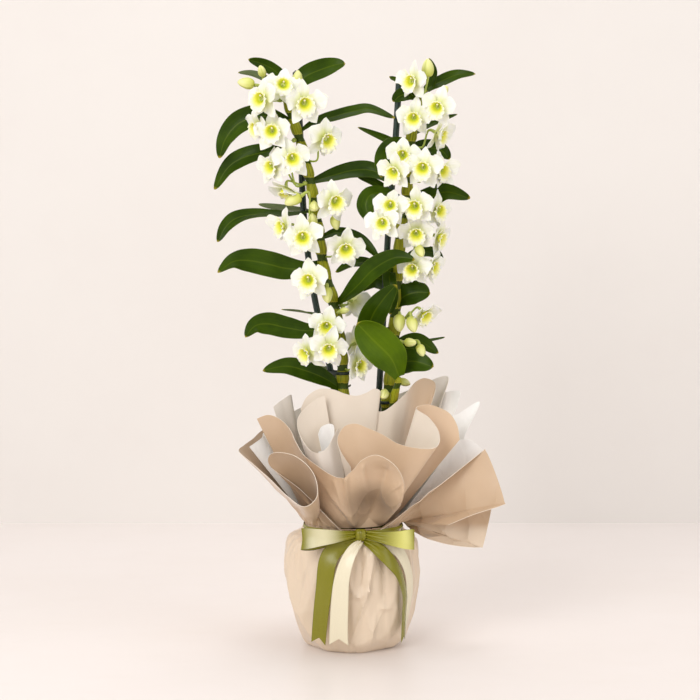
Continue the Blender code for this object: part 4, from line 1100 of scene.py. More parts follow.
@dataclass
class LeafyStem:
    """A jointed cane or shoot with the leaves that grow from it."""

    name: str
    points: Sequence[Point]
    leaves: dict
    nodes: Sequence[float]
    radius: float
    tip_radius: float
    stock: Stock
    sides: int = 30
    ring_gap: float = 1.5

    def radius_at(self, around: Array, along: Array) -> Array:
        """The stem's radius: waisted at each node, with a ribbed sheath above it."""
        course = Course(np.array(self.points, float))
        levels, row = np.unique(along, return_inverse=True)
        height = course.at(levels)[:, 2][row]
        top = self.points[-1][2]
        place = np.interp(height, self.nodes, np.arange(len(self.nodes)))
        part = place - np.floor(place)
        seen = step(HIDDEN_TOP - 10, HIDDEN_TOP + 10, height)
        swell = 1 - 0.10 * np.cos(math.tau * part) * seen
        angle = math.tau * around
        rag = 0.06 * np.sin(5 * angle + place) + 0.04 * np.sin(11 * angle)
        sheath = step(0.30 + rag, 0.34 + rag, part) * (1 - step(0.93, 1.0, part))
        ribs = 0.12 * np.sin(13 * angle + 0.4 * np.sin(place * 3)) + 0.07 * np.sin(29 * angle)
        whole = thinned(height, top, self.radius, self.tip_radius) * swell
        whole = whole + seen * (0.38 * sheath + ribs * sheath)
        round_top = np.sqrt(np.clip((top + 0.5 - height) / 5, 0, 1))
        return np.maximum(whole * np.where(height > top - 5, np.maximum(round_top, 0.35), 1), 0.4)

    def build(self) -> bpy.types.Object:
        """Lay the stem and its leaves and dress them."""
        maker = Maker()
        length = self.points[-1][2] - STEM_FOOT
        maker.tube(self.points, self.radius_at, self.sides, int(length / self.ring_gap))
        self.count_nodes(maker)
        rng = np.random.default_rng(SEED + len(self.leaves))
        for points, width, rolls in self.leaves.values():
            leaf = Leaf(points, width, rolls, rng.uniform(0, 6))
            maker.grid(LEAF_COLUMNS, LEAF_ROWS, leaf.form, 1, thickness=leaf.thickness, back=2)
        stock = self.stock
        top = stock.leaf_young if "young" in self.name else stock.leaf_top
        piece = maker.finish(self.name, (stock.cane, top, stock.leaf_under))
        return place_piece(piece, Slot.FOLIAGE, self.name)

    def count_nodes(self, maker: Maker) -> None:
        """Make the UV map's second number count the stem's nodes by height."""
        for face in maker.shape.faces:
            for loop in face.loops:
                height = loop.vert.co.z / MM
                loop[maker.pattern].uv.y = float(np.interp(height, self.nodes, np.arange(len(self.nodes))))


@dataclass
class Stake:
    """A fluted plastic stake with a flat top."""

    side: str
    stock: Stock
    radius: float = STAKE_RADIUS
    flutes: int = 9

    def radius_at(self, around: Array, along: Array) -> Array:
        """The stake's radius round its flutes."""
        return self.radius * (0.94 + 0.07 * np.cos(self.flutes * math.tau * around))

    def build(self) -> bpy.types.Object:
        """Lay the stake and dress it."""
        maker = Maker()
        maker.tube(STAKES[self.side], self.radius_at, 54, 90)
        name = f"stake_{self.side}"
        return place_piece(maker.finish(name, (self.stock.stake,), 60), Slot.STAKE, name)


@dataclass
class StemTie:
    """A loop that holds a cane to its stake."""

    side: str
    height: float
    stock: Stock
    clearance: float = 0.9
    thickness: float = 1.4

    def build(self) -> bpy.types.Object:
        """Lay a round-edged loop round the cane and the stake."""
        cane = Course(np.array(CANES[self.side], float)).at_height(self.height)
        stake = Course(np.array(STAKES[self.side], float)).at_height(self.height)
        heading = math.atan2(stake[1] - cane[1], stake[0] - cane[0])
        path = []
        for centre, radius, start in ((cane, CANE_RADIUS, 90), (stake, STAKE_RADIUS, -90)):
            for turn in range(6):
                angle = heading + math.radians(start + 36 * turn)
                reach = radius + self.clearance + self.thickness / 2
                path.append((centre[0] + reach * math.cos(angle), centre[1] + reach * math.sin(angle),
                             self.height))
        loop = Course(np.array(path), closed=True)

        def form(around: Array, along: Array) -> Array:
            spots = loop.at(along)
            ways = unit(loop.at(along + 0.002) - loop.at(along - 0.002))
            outward = np.cross(ways, UP)
            angle = math.tau * around
            return (spots + (self.thickness / 2 * np.cos(angle))[:, None] * outward
                    + (1.5 * np.sin(angle))[:, None] * UP)
        maker = Maker()
        maker.grid(12, 72, form, closed=True)
        bmesh.ops.recalc_face_normals(maker.shape, faces=maker.shape.faces[:])
        name = f"tie_{self.side}"
        return place_piece(maker.finish(name, (self.stock.tie,)), Slot.TIE, name)


# Flowers.

def stalk_points(root: Array, out: Array, end: Array, aim: Array) -> list[Array]:
    """A stalk that leaves the cane along out and meets its flower along aim."""
    reach = float(np.linalg.norm(end - root))
    return [root, root + out * reach * 0.35, end - aim * reach * 0.35, end]


class Part(Enum):
    """Which material slot of a spray a part takes."""

    PETAL = 0
    LIP = 1
    STALK = 2
    BUD = 3
    COLUMN = 4


@dataclass
class Tepal:
    """One blade of a flower, in the flower's own directions."""

    angle: float
    length: float
    half: float
    outline: tuple
    lean: float
    cup: float
    ruffle: float
    phase: float
    lift: float
    pitch: float = 0.0
    twist: float = 0.0

    def form(self, across: Array, along: Array) -> Array:
        """Points across, up and ahead of the flower's middle."""
        s = 2 * across - 1
        reach = 1.2 + self.length * along
        wide = self.half * eased(self.outline, along)
        way = math.radians(self.angle)
        ahead = (self.lift + self.lean * np.sin(along * math.pi * 0.62) - 3.0 * along ** 3 * self.cup
                 + self.cup * 2.6 * np.abs(s) ** 2 * np.sin(math.pi * np.minimum(along * 1.1, 1))
                 + self.ruffle * np.abs(s) ** 2 * np.sin(11 * along + self.phase + 2 * s)
                 * step(0.15, 0.5, along))
        side = s * wide * (1 - 0.11 * np.sin(15 * along + self.phase + s) * self.ruffle)
        ahead = ahead + reach * math.tan(math.radians(self.pitch)) + side * self.twist * along
        x = reach * math.cos(way) - side * math.sin(way)
        y = reach * math.sin(way) + side * math.cos(way)
        return np.stack((x, y, ahead), axis=1)


PETAL_OUTLINE = ((0.0, 0.20), (0.12, 0.36), (0.30, 0.74), (0.48, 0.98), (0.62, 1.0), (0.78, 0.82),
                 (0.91, 0.47), (1.0, 0.06))
SEPAL_OUTLINE = ((0.0, 0.48), (0.15, 0.74), (0.35, 0.98), (0.48, 1.0), (0.66, 0.82), (0.82, 0.52),
                 (0.93, 0.25), (1.0, 0.03))
BUD_OUTLINE = ((0.0, 0.12), (0.10, 0.24), (0.30, 0.335), (0.55, 0.32), (0.80, 0.20), (0.93, 0.085),
               (1.0, 0.02))


@dataclass
class Spray:
    """The flowers and buds that grow from one node of a cane."""

    name: str
    side: str
    height: float
    blooms: Sequence[tuple]
    buds: Sequence[tuple]
    stock: Stock
    rng: np.random.Generator
    spur: float = 2.4

    def build(self) -> bpy.types.Object:
        """Lay every flower and bud with its stalk, and dress them."""
        maker = Maker()
        course = Course(np.array(CANES[self.side], float))
        middle = course.at_height(self.height)
        way = unit(course.at_height(self.height + 3) - course.at_height(self.height - 3))
        places = [*self.blooms, *self.buds]
        out = np.mean([place[:3] for place in places], axis=0) - middle
        out = unit(out - way * out.dot(way))
        radius = thinned(self.height, CANES[self.side][-1][2], CANE_RADIUS, CANE_TIP_RADIUS)
        root = middle + out * (radius - 0.8)
        if len(places) > 1:
            ends = [root, root + out * 3.2, root + out * 6.4]
            maker.tube(ends, lambda u, v: self.spur * np.sin(np.pi * np.clip(v, 0.12, 0.88)), 12, 8,
                       Part.STALK.value)
            root = root + out * 2.5
        for place in self.blooms:
            self.add_bloom(maker, root, out, place)
        for place in self.buds:
            self.add_bud(maker, root, out, place)
        stock = self.stock
        piece = maker.finish(self.name, (stock.petal, stock.lip, stock.stalk, stock.bud, stock.column))
        return place_piece(piece, Slot.BLOOM, self.name)

    @staticmethod
    def eased_turn(turn: float) -> float:
        """A turn a little nearer to the viewer for flowers that face sideways."""
        far = abs(turn) - 30
        return turn if far <= 0 or far > 70 else math.copysign(30 + 0.5 * far, turn)

    def add_stalk(self, maker: Maker, points: list[Array], end_radius: float) -> None:
        """Lay a slender stalk that swells toward its flower."""
        def radius(around: Array, along: Array) -> Array:
            return 0.95 + (end_radius - 0.95) * step(0.55, 1.0, along) + 0.5 * step(0.12, 0.0, along)
        maker.tube(points, radius, 9, 16, Part.STALK.value)

    def add_bloom(self, maker: Maker, root: Array, out: Array, place: tuple) -> None:
        """Lay one flower: five tepals, a frilled lip, its column and its stalk.

        Args:
            maker: the mesh to add to.
            root: where the stalk starts.
            out: the way that it leaves the cane.
            place: the flower's middle, turn, tilt and size.
        """
        x, y, z, turn, tilt, size = place
        size = 1.05 * max(size, 0.88)
        centre = np.array((x, y, z), float)
        loose = self.rng.uniform(-1, 1, 3)
        right, up, forward = face_axes(self.eased_turn(turn) + 13 * loose[0], tilt + 10 * loose[1] - 3)
        spin = math.radians(14 * loose[2])
        right, up = (math.cos(spin) * right + math.sin(spin) * up,
                     math.cos(spin) * up - math.sin(spin) * right)

        def placed(form: Form) -> Form:
            def inner(across: Array, along: Array) -> Array:
                local = form(across, along)
                return centre + size * (local[:, 0:1] * right + local[:, 1:2] * up + local[:, 2:3] * forward)
            return inner

        vary = self.rng.uniform
        open_by = vary(-4, 20) + (12 if abs(place[3]) > 50 else 0)
        for angle in (90, 234, 306):
            blade = Tepal(angle + vary(-6, 6), vary(18.0, 21.5), vary(6.0, 7.2), SEPAL_OUTLINE,
                          vary(-2.0, 1.0), vary(0.2, 0.9), vary(0.3, 0.8), vary(0, 6), -0.9,
                          open_by + vary(-16, 8), vary(-0.3, 0.3))
            maker.grid(9, 13, placed(blade.form), Part.PETAL.value, thickness=0.45)
        for angle in (16, 164):
            blade = Tepal(angle + vary(-6, 6), vary(17.5, 20.5), vary(8.2, 9.6), PETAL_OUTLINE,
                          vary(-0.5, 2.5), vary(-0.3, 0.8), vary(0.7, 1.5), vary(0, 6), 0.5,
                          open_by + vary(-10, 14), vary(-0.35, 0.35))
            maker.grid(12, 14, placed(blade.form), Part.PETAL.value, thickness=0.42)
        maker.grid(44, 14, placed(self.lip_form(vary(0, 6))), Part.LIP.value, closed=True, thickness=0.4)
        column = [centre + size * (2.6 * up + ahead * forward) for ahead in (2.5, 5.0, 7.4)]
        maker.tube(column, lambda u, v: size * (0.8 + 0.5 * step(0.4, 0.85, v)) * np.sqrt(np.sin(
            np.pi * np.clip(v, 0.06, 0.94))), 10, 8, Part.COLUMN.value)
        stalk = stalk_points(root, out, centre + forward * size * 0.6, forward)
        self.add_stalk(maker, stalk, 2.1 * size)

    def lip_form(self, phase: float) -> Form:
        """The trumpet of the lip, open ahead, with a longer frilled limb below."""
        def form(around: Array, along: Array) -> Array:
            angle = math.tau * around - math.pi / 2
            below = 0.5 + 0.5 * np.cos(angle + math.pi / 2)
            above = 1 - below
            flare = step(0.45, 1.0, along)
            radius = eased(((0.0, 2.0), (0.25, 4.0), (0.5, 5.4), (0.7, 6.5), (0.88, 8.1), (1.0, 9.1)), along)
            radius = radius + flare * (3.0 * below ** 3 - 1.6 * above ** 2)
            ahead = eased(((0.0, 3.0), (0.25, 4.2), (0.5, 6.8), (0.7, 8.8), (0.88, 10.2), (1.0, 10.6)), along)
            ahead = ahead + flare * (1.0 * below - 1.8 * above) - 2.6 * below ** 3 * step(0.74, 1.0, along)
            frill = step(0.60, 1.0, along)
            wave = np.sin(11 * angle + phase) + 0.5 * np.sin(17 * angle + 2 * phase)
            ahead = ahead + 1.0 * frill * wave
            radius = radius + 0.75 * frill * np.sin(13 * angle - phase)
            drop = -1.3 * along ** 2
            return np.stack((radius * np.cos(angle), radius * np.sin(angle) + drop, ahead), axis=1)
        return form

    def add_bud(self, maker: Maker, root: Array, out: Array, place: tuple) -> None:
        """Lay one closed bud with its stalk.

        Args:
            maker: the mesh to add to.
            root: where the stalk starts.
            out: the way that it leaves the cane.
            place: the bud's middle, turn, tilt and length.
        """
        x, y, z, turn, tilt, length = place
        _, _, forward = face_axes(turn, tilt)
        neck = np.array((x, y, z), float) - forward * length / 2
        self.add_stalk(maker, stalk_points(root, out, neck + forward * length * 0.08, forward), 1.9)

        def radius(around: Array, along: Array) -> Array:
            crease = np.abs(np.cos(1.5 * math.tau * around)) ** 0.5
            return length * eased(BUD_OUTLINE, along) * (0.90 + 0.12 * crease)
        bend = unit(np.cross(forward, out) + 1e-3) * length * 0.03
        points = [neck, neck + forward * length * 0.5 + bend, neck + forward * length]
        maker.tube(points, radius, 18, 18, Part.BUD.value)


# Pot and bark.

@dataclass
class GrowerPot:
    """The plain grower's pot inside the wrap."""

    stock: Stock
    wall: float = 1.6
    profile: tuple = ((0.01, 1.3), (41, 1.3), (43, 2.4), (56.5, 93), (57, 94.2), (59.6, 95), (60, 96),
                      (60, 105), (59.2, 106), (58.2, 105), (58.2, 96), (55.4, 94), (41.4, 3.4), (0.01, 3.0))

    def build(self) -> bpy.types.Object:
        """Turn the pot's wall round its axis and dress it."""
        maker = Maker()
        shape = maker.shape
        line = [shape.verts.new((radius * MM, 0, height * MM)) for radius, height in self.profile]
        edges = [shape.edges.new(pair) for pair in zip(line, line[1:])]
        bmesh.ops.spin(shape, geom=line + edges, cent=(0, 0, 0), axis=(0, 0, 1), angle=math.tau, steps=96,
                       use_merge=True)
        bmesh.ops.remove_doubles(shape, verts=shape.verts[:], dist=2e-5)
        bmesh.ops.recalc_face_normals(shape, faces=shape.faces[:])
        for face in shape.faces:
            face.smooth = True
        return place_piece(maker.finish("grower_pot", (self.stock.pot,), 35), Slot.POT, "grower_pot")


@dataclass
class GrowingMedium:
    """Orchid bark: a rough mound with loose chips on it."""

    stock: Stock
    chips: int = 150

    def mound(self, around: Array, along: Array) -> Array:
        """Points of the bark's skin, from the middle of its floor up to the middle of its top."""
        radius = eased(((0.0, 0.0), (0.2, 40.6), (0.75, 55.6), (0.85, 50.0), (1.0, 0.0)), along)
        radius = np.where(along <= 0, 0, np.where(along >= 1, 0, np.clip(radius, 0, 55.6)))
        height = np.interp(along, (0, 0.2, 0.75, 0.85, 1.0), (3.3, 3.3, 89, 94, 97))
        angle = math.tau * around
        rough = 0.9 * np.sin(9 * angle + 3 * radius) * np.cos(7 * angle - 0.6 * radius)
        rough = rough * step(0.75, 0.85, along)
        rough = np.where(along >= 1, 0, rough)
        return np.stack((radius * np.cos(angle), radius * np.sin(angle), height + rough), axis=1)

    def build(self) -> bpy.types.Object:
        """Lay the mound and its chips and dress them."""
        maker = Maker()
        maker.grid(64, 40, self.mound, closed=True)
        rng = np.random.default_rng(SEED + 7)
        for _ in range(self.chips):
            self.add_chip(maker, rng)
        piece = maker.finish("growing_medium", (self.stock.bark,), 35)
        return place_piece(piece, Slot.BARK, "growing_medium")

    def add_chip(self, maker: Maker, rng: np.random.Generator) -> None:
        """Lay one bevelled chip at a random place on the mound."""
        reach, angle = 52 * math.sqrt(rng.uniform(0, 1)), rng.uniform(0, math.tau)
        spot = Vector((reach * math.cos(angle), reach * math.sin(angle), 97.2 - 4.0 * (reach / 55) ** 2)) * MM
        made = bmesh.ops.create_cube(maker.shape, size=1.0)
        verts = made["verts"]
        size = Vector((rng.uniform(6, 13), rng.uniform(4, 8), rng.uniform(1.8, 3.6))) * MM
        bmesh.ops.scale(maker.shape, vec=size, verts=verts)
        edges = list(dict.fromkeys(edge for vert in verts for edge in vert.link_edges))
        made = bmesh.ops.bevel(maker.shape, geom=edges, offset=0.7 * MM, segments=1, profile=0.5,
                               affect="EDGES", material=-1)
        turned = Vector((rng.uniform(-0.5, 0.5), rng.uniform(-0.5, 0.5), 1)).normalized()
        matrix = turned.to_track_quat("Z", "Y").to_matrix()
        matrix = matrix @ Matrix.Rotation(rng.uniform(0, math.tau), 3, "Z")
        verts = list(dict.fromkeys(vert for face in made["faces"] for vert in face.verts))
        bmesh.ops.rotate(maker.shape, cent=(0, 0, 0), matrix=matrix, verts=verts)
        bmesh.ops.translate(maker.shape, vec=spot, verts=verts)


# Paper.

@dataclass(frozen=True)
class Crease:
    """A ridge or a groove pressed into paper along a line in space."""

    points: tuple
    width: float
    depth: float

    def press(self, spots: Array) -> Array:
        """How far each point is pushed along its normal; depth from the viewer counts a third."""
        flat = np.array((1.0, DEPTH_SHARE, 1.0))
        spots = spots * flat
        line = np.array(self.points, float) * flat
        push = np.zeros(len(spots))
        for start, end in zip(line, line[1:]):
            way = end - start
            share = np.clip((spots - start) @ way / max(way @ way, 1e-9), 0, 1)
            gap = np.linalg.norm(spots - start - share[:, None] * way, axis=1)
            ridge = np.clip(1 - gap / self.width, 0, 1) ** 2
            push = np.where(ridge > np.abs(push), ridge, push)
        return push * self.depth


def pressed(spots: Array, columns: int, creases: Sequence[Crease], closed: bool) -> Array:
    """Push a grid of points along its own normals.

    Args:
        spots: the grid's points, row after row.
        columns: points in a row.
        creases: what is pressed into it.
        closed: whether the row's two ends meet.

    Returns:
        The moved points, in the same order.
    """
    grid = spots.reshape(-1, columns, 3)
    if closed:
        wide = np.concatenate((grid[:, -2:-1], grid, grid[:, 1:2]), axis=1)
        across = wide[:, 2:] - wide[:, :-2]
    else:
        across = np.gradient(grid, axis=1)
    along = np.gradient(grid, axis=0)
    normals = unit(np.cross(across, along)).reshape(-1, 3)
    push = sum(crease.press(spots) for crease in creases)
    return spots + normals * np.reshape(push, (-1, 1))


def faceted(spots: Array, seeds: Array, scale: Array) -> Array:
    """Bowls round the seeds that meet in crisp ridges.

    Args:
        spots: where it is read, in millimetres.
        seeds: the bowls' lowest points.
        scale: how many bowls fit in a millimetre along each axis.

    Returns:
        0 at a seed, rising to 1 and no further.
    """
    gaps = np.full(len(spots), 1.0)
    for seed in seeds:
        gaps = np.minimum(gaps, np.sum(((spots - seed) * scale) ** 2, axis=1))
    return gaps


@dataclass(frozen=True)
class Fold:
    """A fold in the wrap that runs down the pot from azimuth to azimuth."""

    top: float
    bottom: float
    high: float
    low: float
    width: float
    depth: float

    def push(self, azimuth: Array, height: Array) -> Array:
        """How far the fold stands out at each azimuth in degrees and height."""
        share = np.clip((self.high - height) / (self.high - self.low), 0, 1)
        middle = self.top + (self.bottom - self.top) * share
        gap = np.abs((azimuth - middle + 180) % 360 - 180)
        ridge = np.clip(1 - gap / self.width, 0, 1) ** 1.6
        fade = step(self.low, self.low + 0.35 * (self.high - self.low), height)
        fade = fade * step(FOLD_TOP, FOLD_FADE, height)
        return self.depth * ridge * np.where(height > self.high, 1, fade)


BASE_CORNERS = (-180, -141, -108, -75, -33, -4, 12, 60, 98, 138)

FRONT_CREASES = (
    Crease(((-1, -60, 117), (-2.5, -66, 92), (-3, -67, 73)), 4.0, 2.0),
    Crease(((-3, -67, 73), (0, -66, 64), (5, -66, 61), (10, -66, 62), (14.5, -66, 68)), 5.0, 2.4),
    Crease(((14.5, -66, 68), (17, -66, 84), (19, -60, 104)), 4.2, 2.2),
    Crease(((14.5, -66, 66), (9, -62, 46), (4.8, -58, 32), (-4, -50, 8)), 3.6, 2.2),
    Crease(((42, -52, 80), (42, -50, 66), (39, -50, 54), (34, -53, 47), (27, -57, 48)), 5.0, 2.4),
    Crease(((42, -52, 80), (44, -46, 98), (42, -40, 112)), 4.2, 2.0),
    Crease(((7, -66, 110), (8, -67, 88), (7, -66, 72)), 7.0, -2.6),
    Crease(((30, -58, 100), (31, -58, 78), (31, -57, 60)), 8.0, -3.0),
    Crease(((22, -60, 40), (18, -54, 16)), 4.0, 1.6),
    Crease(((34, -50, 40), (36, -44, 14)), 4.0, 1.6),
    Crease(((-52, -36, 110), (-57, -34, 92), (-52, -34, 58)), 3.6, 2.6),
    Crease(((-46, -44, 88), (-52, -40, 74), (-50, -40, 62)), 5.0, -2.4),
    Crease(((-58, -26, 96), (-60, -24, 62), (-52, -26, 30)), 4.0, 2.2),
    Crease(((-46, -46, 82), (-38, -50, 50), (-34, -42, 14)), 4.0, 1.5),
    Crease(((-20, -62, 108), (-23, -62, 88), (-22, -62, 60)), 3.6, 1.8),
    Crease(((60, -24, 108), (62, -22, 92), (63, -20, 74)), 3.6, 2.6),
    Crease(((54, -36, 104), (57, -34, 84), (60, -28, 66)), 4.0, 2.2),
    Crease(((60, -22, 64), (54, -24, 36), (44, -22, 10)), 5.0, 1.6),
)

LOBE_CREASES = (
    Crease(((64, -44, 152), (86, -40, 160), (97, -40, 155), (101, -40, 148)), 7.0, 1.6),
    Crease(((66, -44, 142), (84, -40, 146), (98, -38, 138)), 8.0, -1.8),
    Crease(((60, -44, 132), (78, -40, 138), (90, -38, 146)), 6.0, 1.5),
    Crease(((56, -44, 126), (64, -44, 146), (78, -42, 164)), 6.0, -1.5),
)


@dataclass
class OuterWrap:
    """The sheet under and round the pot, gathered at the neck, with its collar above."""

    stock: Stock
    columns: int = 400
    floor_rows: int = 3
    body_rows: int = 78
    collar_rows: int = 38
    thickness: float = 0.5
    slack: float = 1.6

    def folds(self) -> list[Fold]:
        """The small pleats at the neck and the long soft folds below it."""
        rng = np.random.default_rng(SEED + 3)
        made = []
        azimuth = -180.0
        sign = 1
        while azimuth < 178:
            low = rng.uniform(78, 104)
            made.append(Fold(azimuth, azimuth + rng.uniform(-7, 7), NECK_HEIGHT, low, rng.uniform(3.0, 5.5),
                             sign * rng.uniform(0.9, 2.2)))
            azimuth += rng.uniform(4.0, 7.5)
            sign = -sign
        for azimuth in range(-170, 180, 24):
            made.append(Fold(azimuth + rng.uniform(-6, 6), azimuth + rng.uniform(-14, 14), NECK_HEIGHT,
                             rng.uniform(0, 30), rng.uniform(7, 13),
                             rng.choice((-1.1, 1.2)) * rng.uniform(0.8, 1.4)))
        return made

    def base_reach(self, azimuth: Array) -> Array:
        """The base's radius: straight edges between soft corners."""
        corners = np.array([*BASE_CORNERS, 180], float)
        turned = (azimuth + 180) % 360 - 180
        index = np.clip(np.searchsorted(corners, turned, side="right") - 1, 0, len(corners) - 2)
        low, high = corners[index], corners[index + 1]
        half = np.radians(high - low) / 2
        return np.cos(half) / np.cos(np.radians(turned) - np.radians(low) - half)

    def form(self, across: Array, along: Array) -> Array:
        """Points of the sheet's outer face, from the middle of its floor up to its rim."""
        total = self.floor_rows + self.body_rows + self.collar_rows
        row = np.rint(along * total).astype(int)
        azimuths = np.array([pair[0] for pair in OUTER_RIM] + [180.0])
        place = across * len(OUTER_RIM)
        azimuth = np.interp(place, np.arange(len(azimuths)), azimuths)
        angle = np.radians(azimuth)
        ring = np.stack((np.sin(angle), -np.cos(angle)), axis=1)
        profile = Course(np.array(WRAP_PROFILE, float))
        body = np.clip((row - self.floor_rows) / self.body_rows, 0, 1)
        reach, height = profile.at(body).T
        height = np.maximum(height, 0)
        edge = 1 - step(0, 34, height)
        push = sum(fold.push(azimuth, height) for fold in self.folds())
        seeds = self.seeds()
        skin = np.column_stack((ring * reach[:, None], height))
        facets = faceted(skin, seeds, np.array((0.05, 0.05, 0.022)))
        push = push + 6.5 * (facets - 0.16) * step(FOLD_TOP, 112, height)
        push = push * step(1, 14, height)
        radius = reach * (1 + (self.base_reach(azimuth) - 1) * edge) + push
        pot = POT_BASE_RADIUS + (POT_RIM_RADIUS - POT_BASE_RADIUS) * np.clip(height / POT_HEIGHT, 0, 1)
        clear = np.maximum(radius, pot + self.slack)
        radius = np.where((height > 2) & (height <= POT_HEIGHT + 1), clear, radius)
        floor = np.clip(row / self.floor_rows, 0, 1)
        radius = np.where(row < self.floor_rows, radius * floor, radius)
        spots = np.column_stack((ring * radius[:, None], height))
        rim = Course(np.array([pair[1] for pair in OUTER_RIM], float), closed=True).at(across)
        share = np.clip((row - self.floor_rows - self.body_rows) / self.collar_rows, 0, 1)
        above = share > 0
        neck = np.column_stack((ring * NECK_RADIUS, np.full(len(across), float(NECK_HEIGHT))))
        pleat = 1.2 * np.sin(34 * angle + 2 * np.sin(5 * angle))
        pleat = pleat * step(1.0, 0.0, share) * step(0, 0.06, share)
        bulge = 2.0 * np.sin(math.pi * share)
        collar = neck + (rim - neck) * share[:, None]
        collar[:, :2] += ring * (pleat - bulge)[:, None]
        facets = faceted(collar, seeds, np.array((0.075, 0.075, 0.045)))
        crumple = 3.0 * (facets - 0.4) * step(0.75, 0.25, share) * step(0, 0.08, share)
        collar[:, :2] += ring * crumple[:, None]
        spots = np.where(above[:, None], collar, spots)
        folded = pressed(spots, self.columns + 1, (*FRONT_CREASES, *LOBE_CREASES), True)
        return spots + (folded - spots) * step(4, 20, height)[:, None]

    def seeds(self) -> Array:
        """The low points between the paper's crumples, on the pot and the foot of the collar."""
        rng = np.random.default_rng(SEED + 11)
        angle = rng.uniform(0, math.tau, 110)
        height = np.concatenate((rng.uniform(12, 118, 62), rng.uniform(128, 158, 48)))
        reach = np.where(height < 120, 62, 50 + (height - 120) * 0.9)
        return np.column_stack((reach * np.sin(angle), -reach * np.cos(angle), height))

    def build(self) -> bpy.types.Object:
        """Lay the sheet and dress it."""
        maker = Maker()
        rows = self.floor_rows + self.body_rows + self.collar_rows
        maker.grid(self.columns, rows, self.form, span=(3, 1), closed=True, thickness=self.thickness,
                   back=1, rim=2)
        stock = self.stock
        piece = maker.finish("paper_wrap_outer", (stock.paper_wrap, stock.paper_reverse_shaded, stock.paper_edge_painted_highlight), 40)
        return place_piece(piece, Slot.WRAP, "paper_wrap_outer")


@dataclass
class TuckedSheet:
    """A sheet tucked in at the neck and ruled up to its curling rim."""

    name: str
    necks: Sequence[tuple]
    rim: Sequence[Point]
    outer: bpy.types.Material
    inner: bpy.types.Material
    # the cut edge's material; on paper it is lighter, a painted highlight
    edge: bpy.types.Material
    slot: Slot
    creases: tuple = ()
    columns: int = 160
    rows: int = 34
    thickness: float = 0.42

    def form(self, across: Array, along: Array) -> Array:
        """Points of the sheet's outer face, from the neck up to the rim."""
        neck = Course(np.array(self.necks, float)).at(across)
        rim = Course(np.array(self.rim, float)).at(across)
        spots = neck + (rim - neck) * along[:, None]
        return pressed(spots, self.columns + 1, self.creases, False) if self.creases else spots

    def build(self) -> bpy.types.Object:
        """Lay the sheet and dress it."""
        maker = Maker()
        maker.grid(self.columns, self.rows, self.form, span=(2, 1), thickness=self.thickness, back=1, rim=2)
        piece = maker.finish(self.name, (self.outer, self.inner, self.edge), 70)
        return place_piece(piece, self.slot, *((self.name,) if self.name.startswith("paper") else ()))


def round_necks(rim: Sequence[tuple], radius: float) -> list[Point]:
    """The neck points of a sheet whose rim is given by azimuth."""
    return [(radius * math.sin(math.radians(azimuth)), -radius * math.cos(math.radians(azimuth)),
             NECK_HEIGHT + 1) for azimuth, _ in rim]


STAR_CREASES = (
    Crease(((14, -60, 130), (15, -70, 150), (12, -84, 174), (10, -90, 192)), 4.0, 3.4),
    Crease(((14, -62, 136), (24, -74, 152), (36, -88, 168), (44, -94, 176)), 4.0, 3.0),
    Crease(((14, -62, 138), (4, -70, 150), (-4, -76, 164)), 4.0, 2.6),
    Crease(((0, -64, 142), (14, -74, 150), (26, -76, 146)), 3.5, 2.8),
    Crease(((20, -70, 146), (28, -74, 138), (24, -66, 130)), 3.5, -2.6),
    Crease(((17, -58, 134), (22, -76, 156), (27, -92, 184)), 25.0, -12.0),
    Crease(((1, -54, 130), (-5, -70, 158), (-7, -82, 180)), 5.0, 5.0),
    Crease(((28, -60, 130), (42, -78, 150), (48, -92, 170)), 6.0, 3.0),
    Crease(((6, -64, 146), (4, -60, 136), (10, -56, 129)), 3.0, -2.4),
    Crease(((-55, -46, 216), (-40, -56, 190), (-20, -60, 158), (0, -52, 130)), 6.0, 3.6),
    Crease(((-42, -50, 196), (-26, -56, 168), (-8, -52, 138)), 6.0, -3.0),
    Crease(((-18, -70, 176), (-10, -62, 150), (2, -54, 130)), 4.0, 2.0),
)


def build_sheets(stock: Stock) -> None:
    """Build every sheet of paper inside the outer wrap.

    Args:
        stock: the materials.
    """
    cream, pearl, tissue = stock.paper_cream, stock.paper_pearl, stock.tissue
    ringed = (
        ("paper_front_low", FRONT_LOW_RIM, 46.0, stock.paper_front, stock.paper_reverse_shaded, Slot.WRAP,
         STAR_CREASES),
        ("paper_liner", LINER_RIM, 43.6, cream, pearl, Slot.LINER, ()),
        ("paper_tissue_left", TISSUE_LEFT_RIM, 45.8, tissue, tissue, Slot.TISSUE, ()),
        ("paper_tissue_right", TISSUE_RIGHT_RIM, 45.8, tissue, tissue, Slot.TISSUE, ()))
    tucked = (
        ("paper_front", FRONT_RIM, stock.paper_lobe_painted_light, cream, Slot.WRAP, ()),
        ("paper_roll_left", ROLL_RIM, pearl, cream, Slot.LINER, ()),
        ("paper_back_panel", BACK_PANEL_RIM, stock.paper_panel, stock.paper_tan, Slot.LINER, ()),
        ("tissue_curl", CURL_RIM, tissue, tissue, Slot.TISSUE, ()))
    sheets = [(name, round_necks(rim, radius), rim, *rest) for name, rim, radius, *rest in ringed]
    sheets += [(name, [(*pair[0], NECK_HEIGHT + 1) for pair in rim], rim, *rest)
               for name, rim, *rest in tucked]
    for name, necks, rim, outer, inner, slot, creases in sheets:
        edge = tissue if slot is Slot.TISSUE else stock.paper_edge_painted_highlight
        TuckedSheet(name, necks, [pair[1] for pair in rim], outer, inner, edge, slot, creases).build()


# Ribbon.

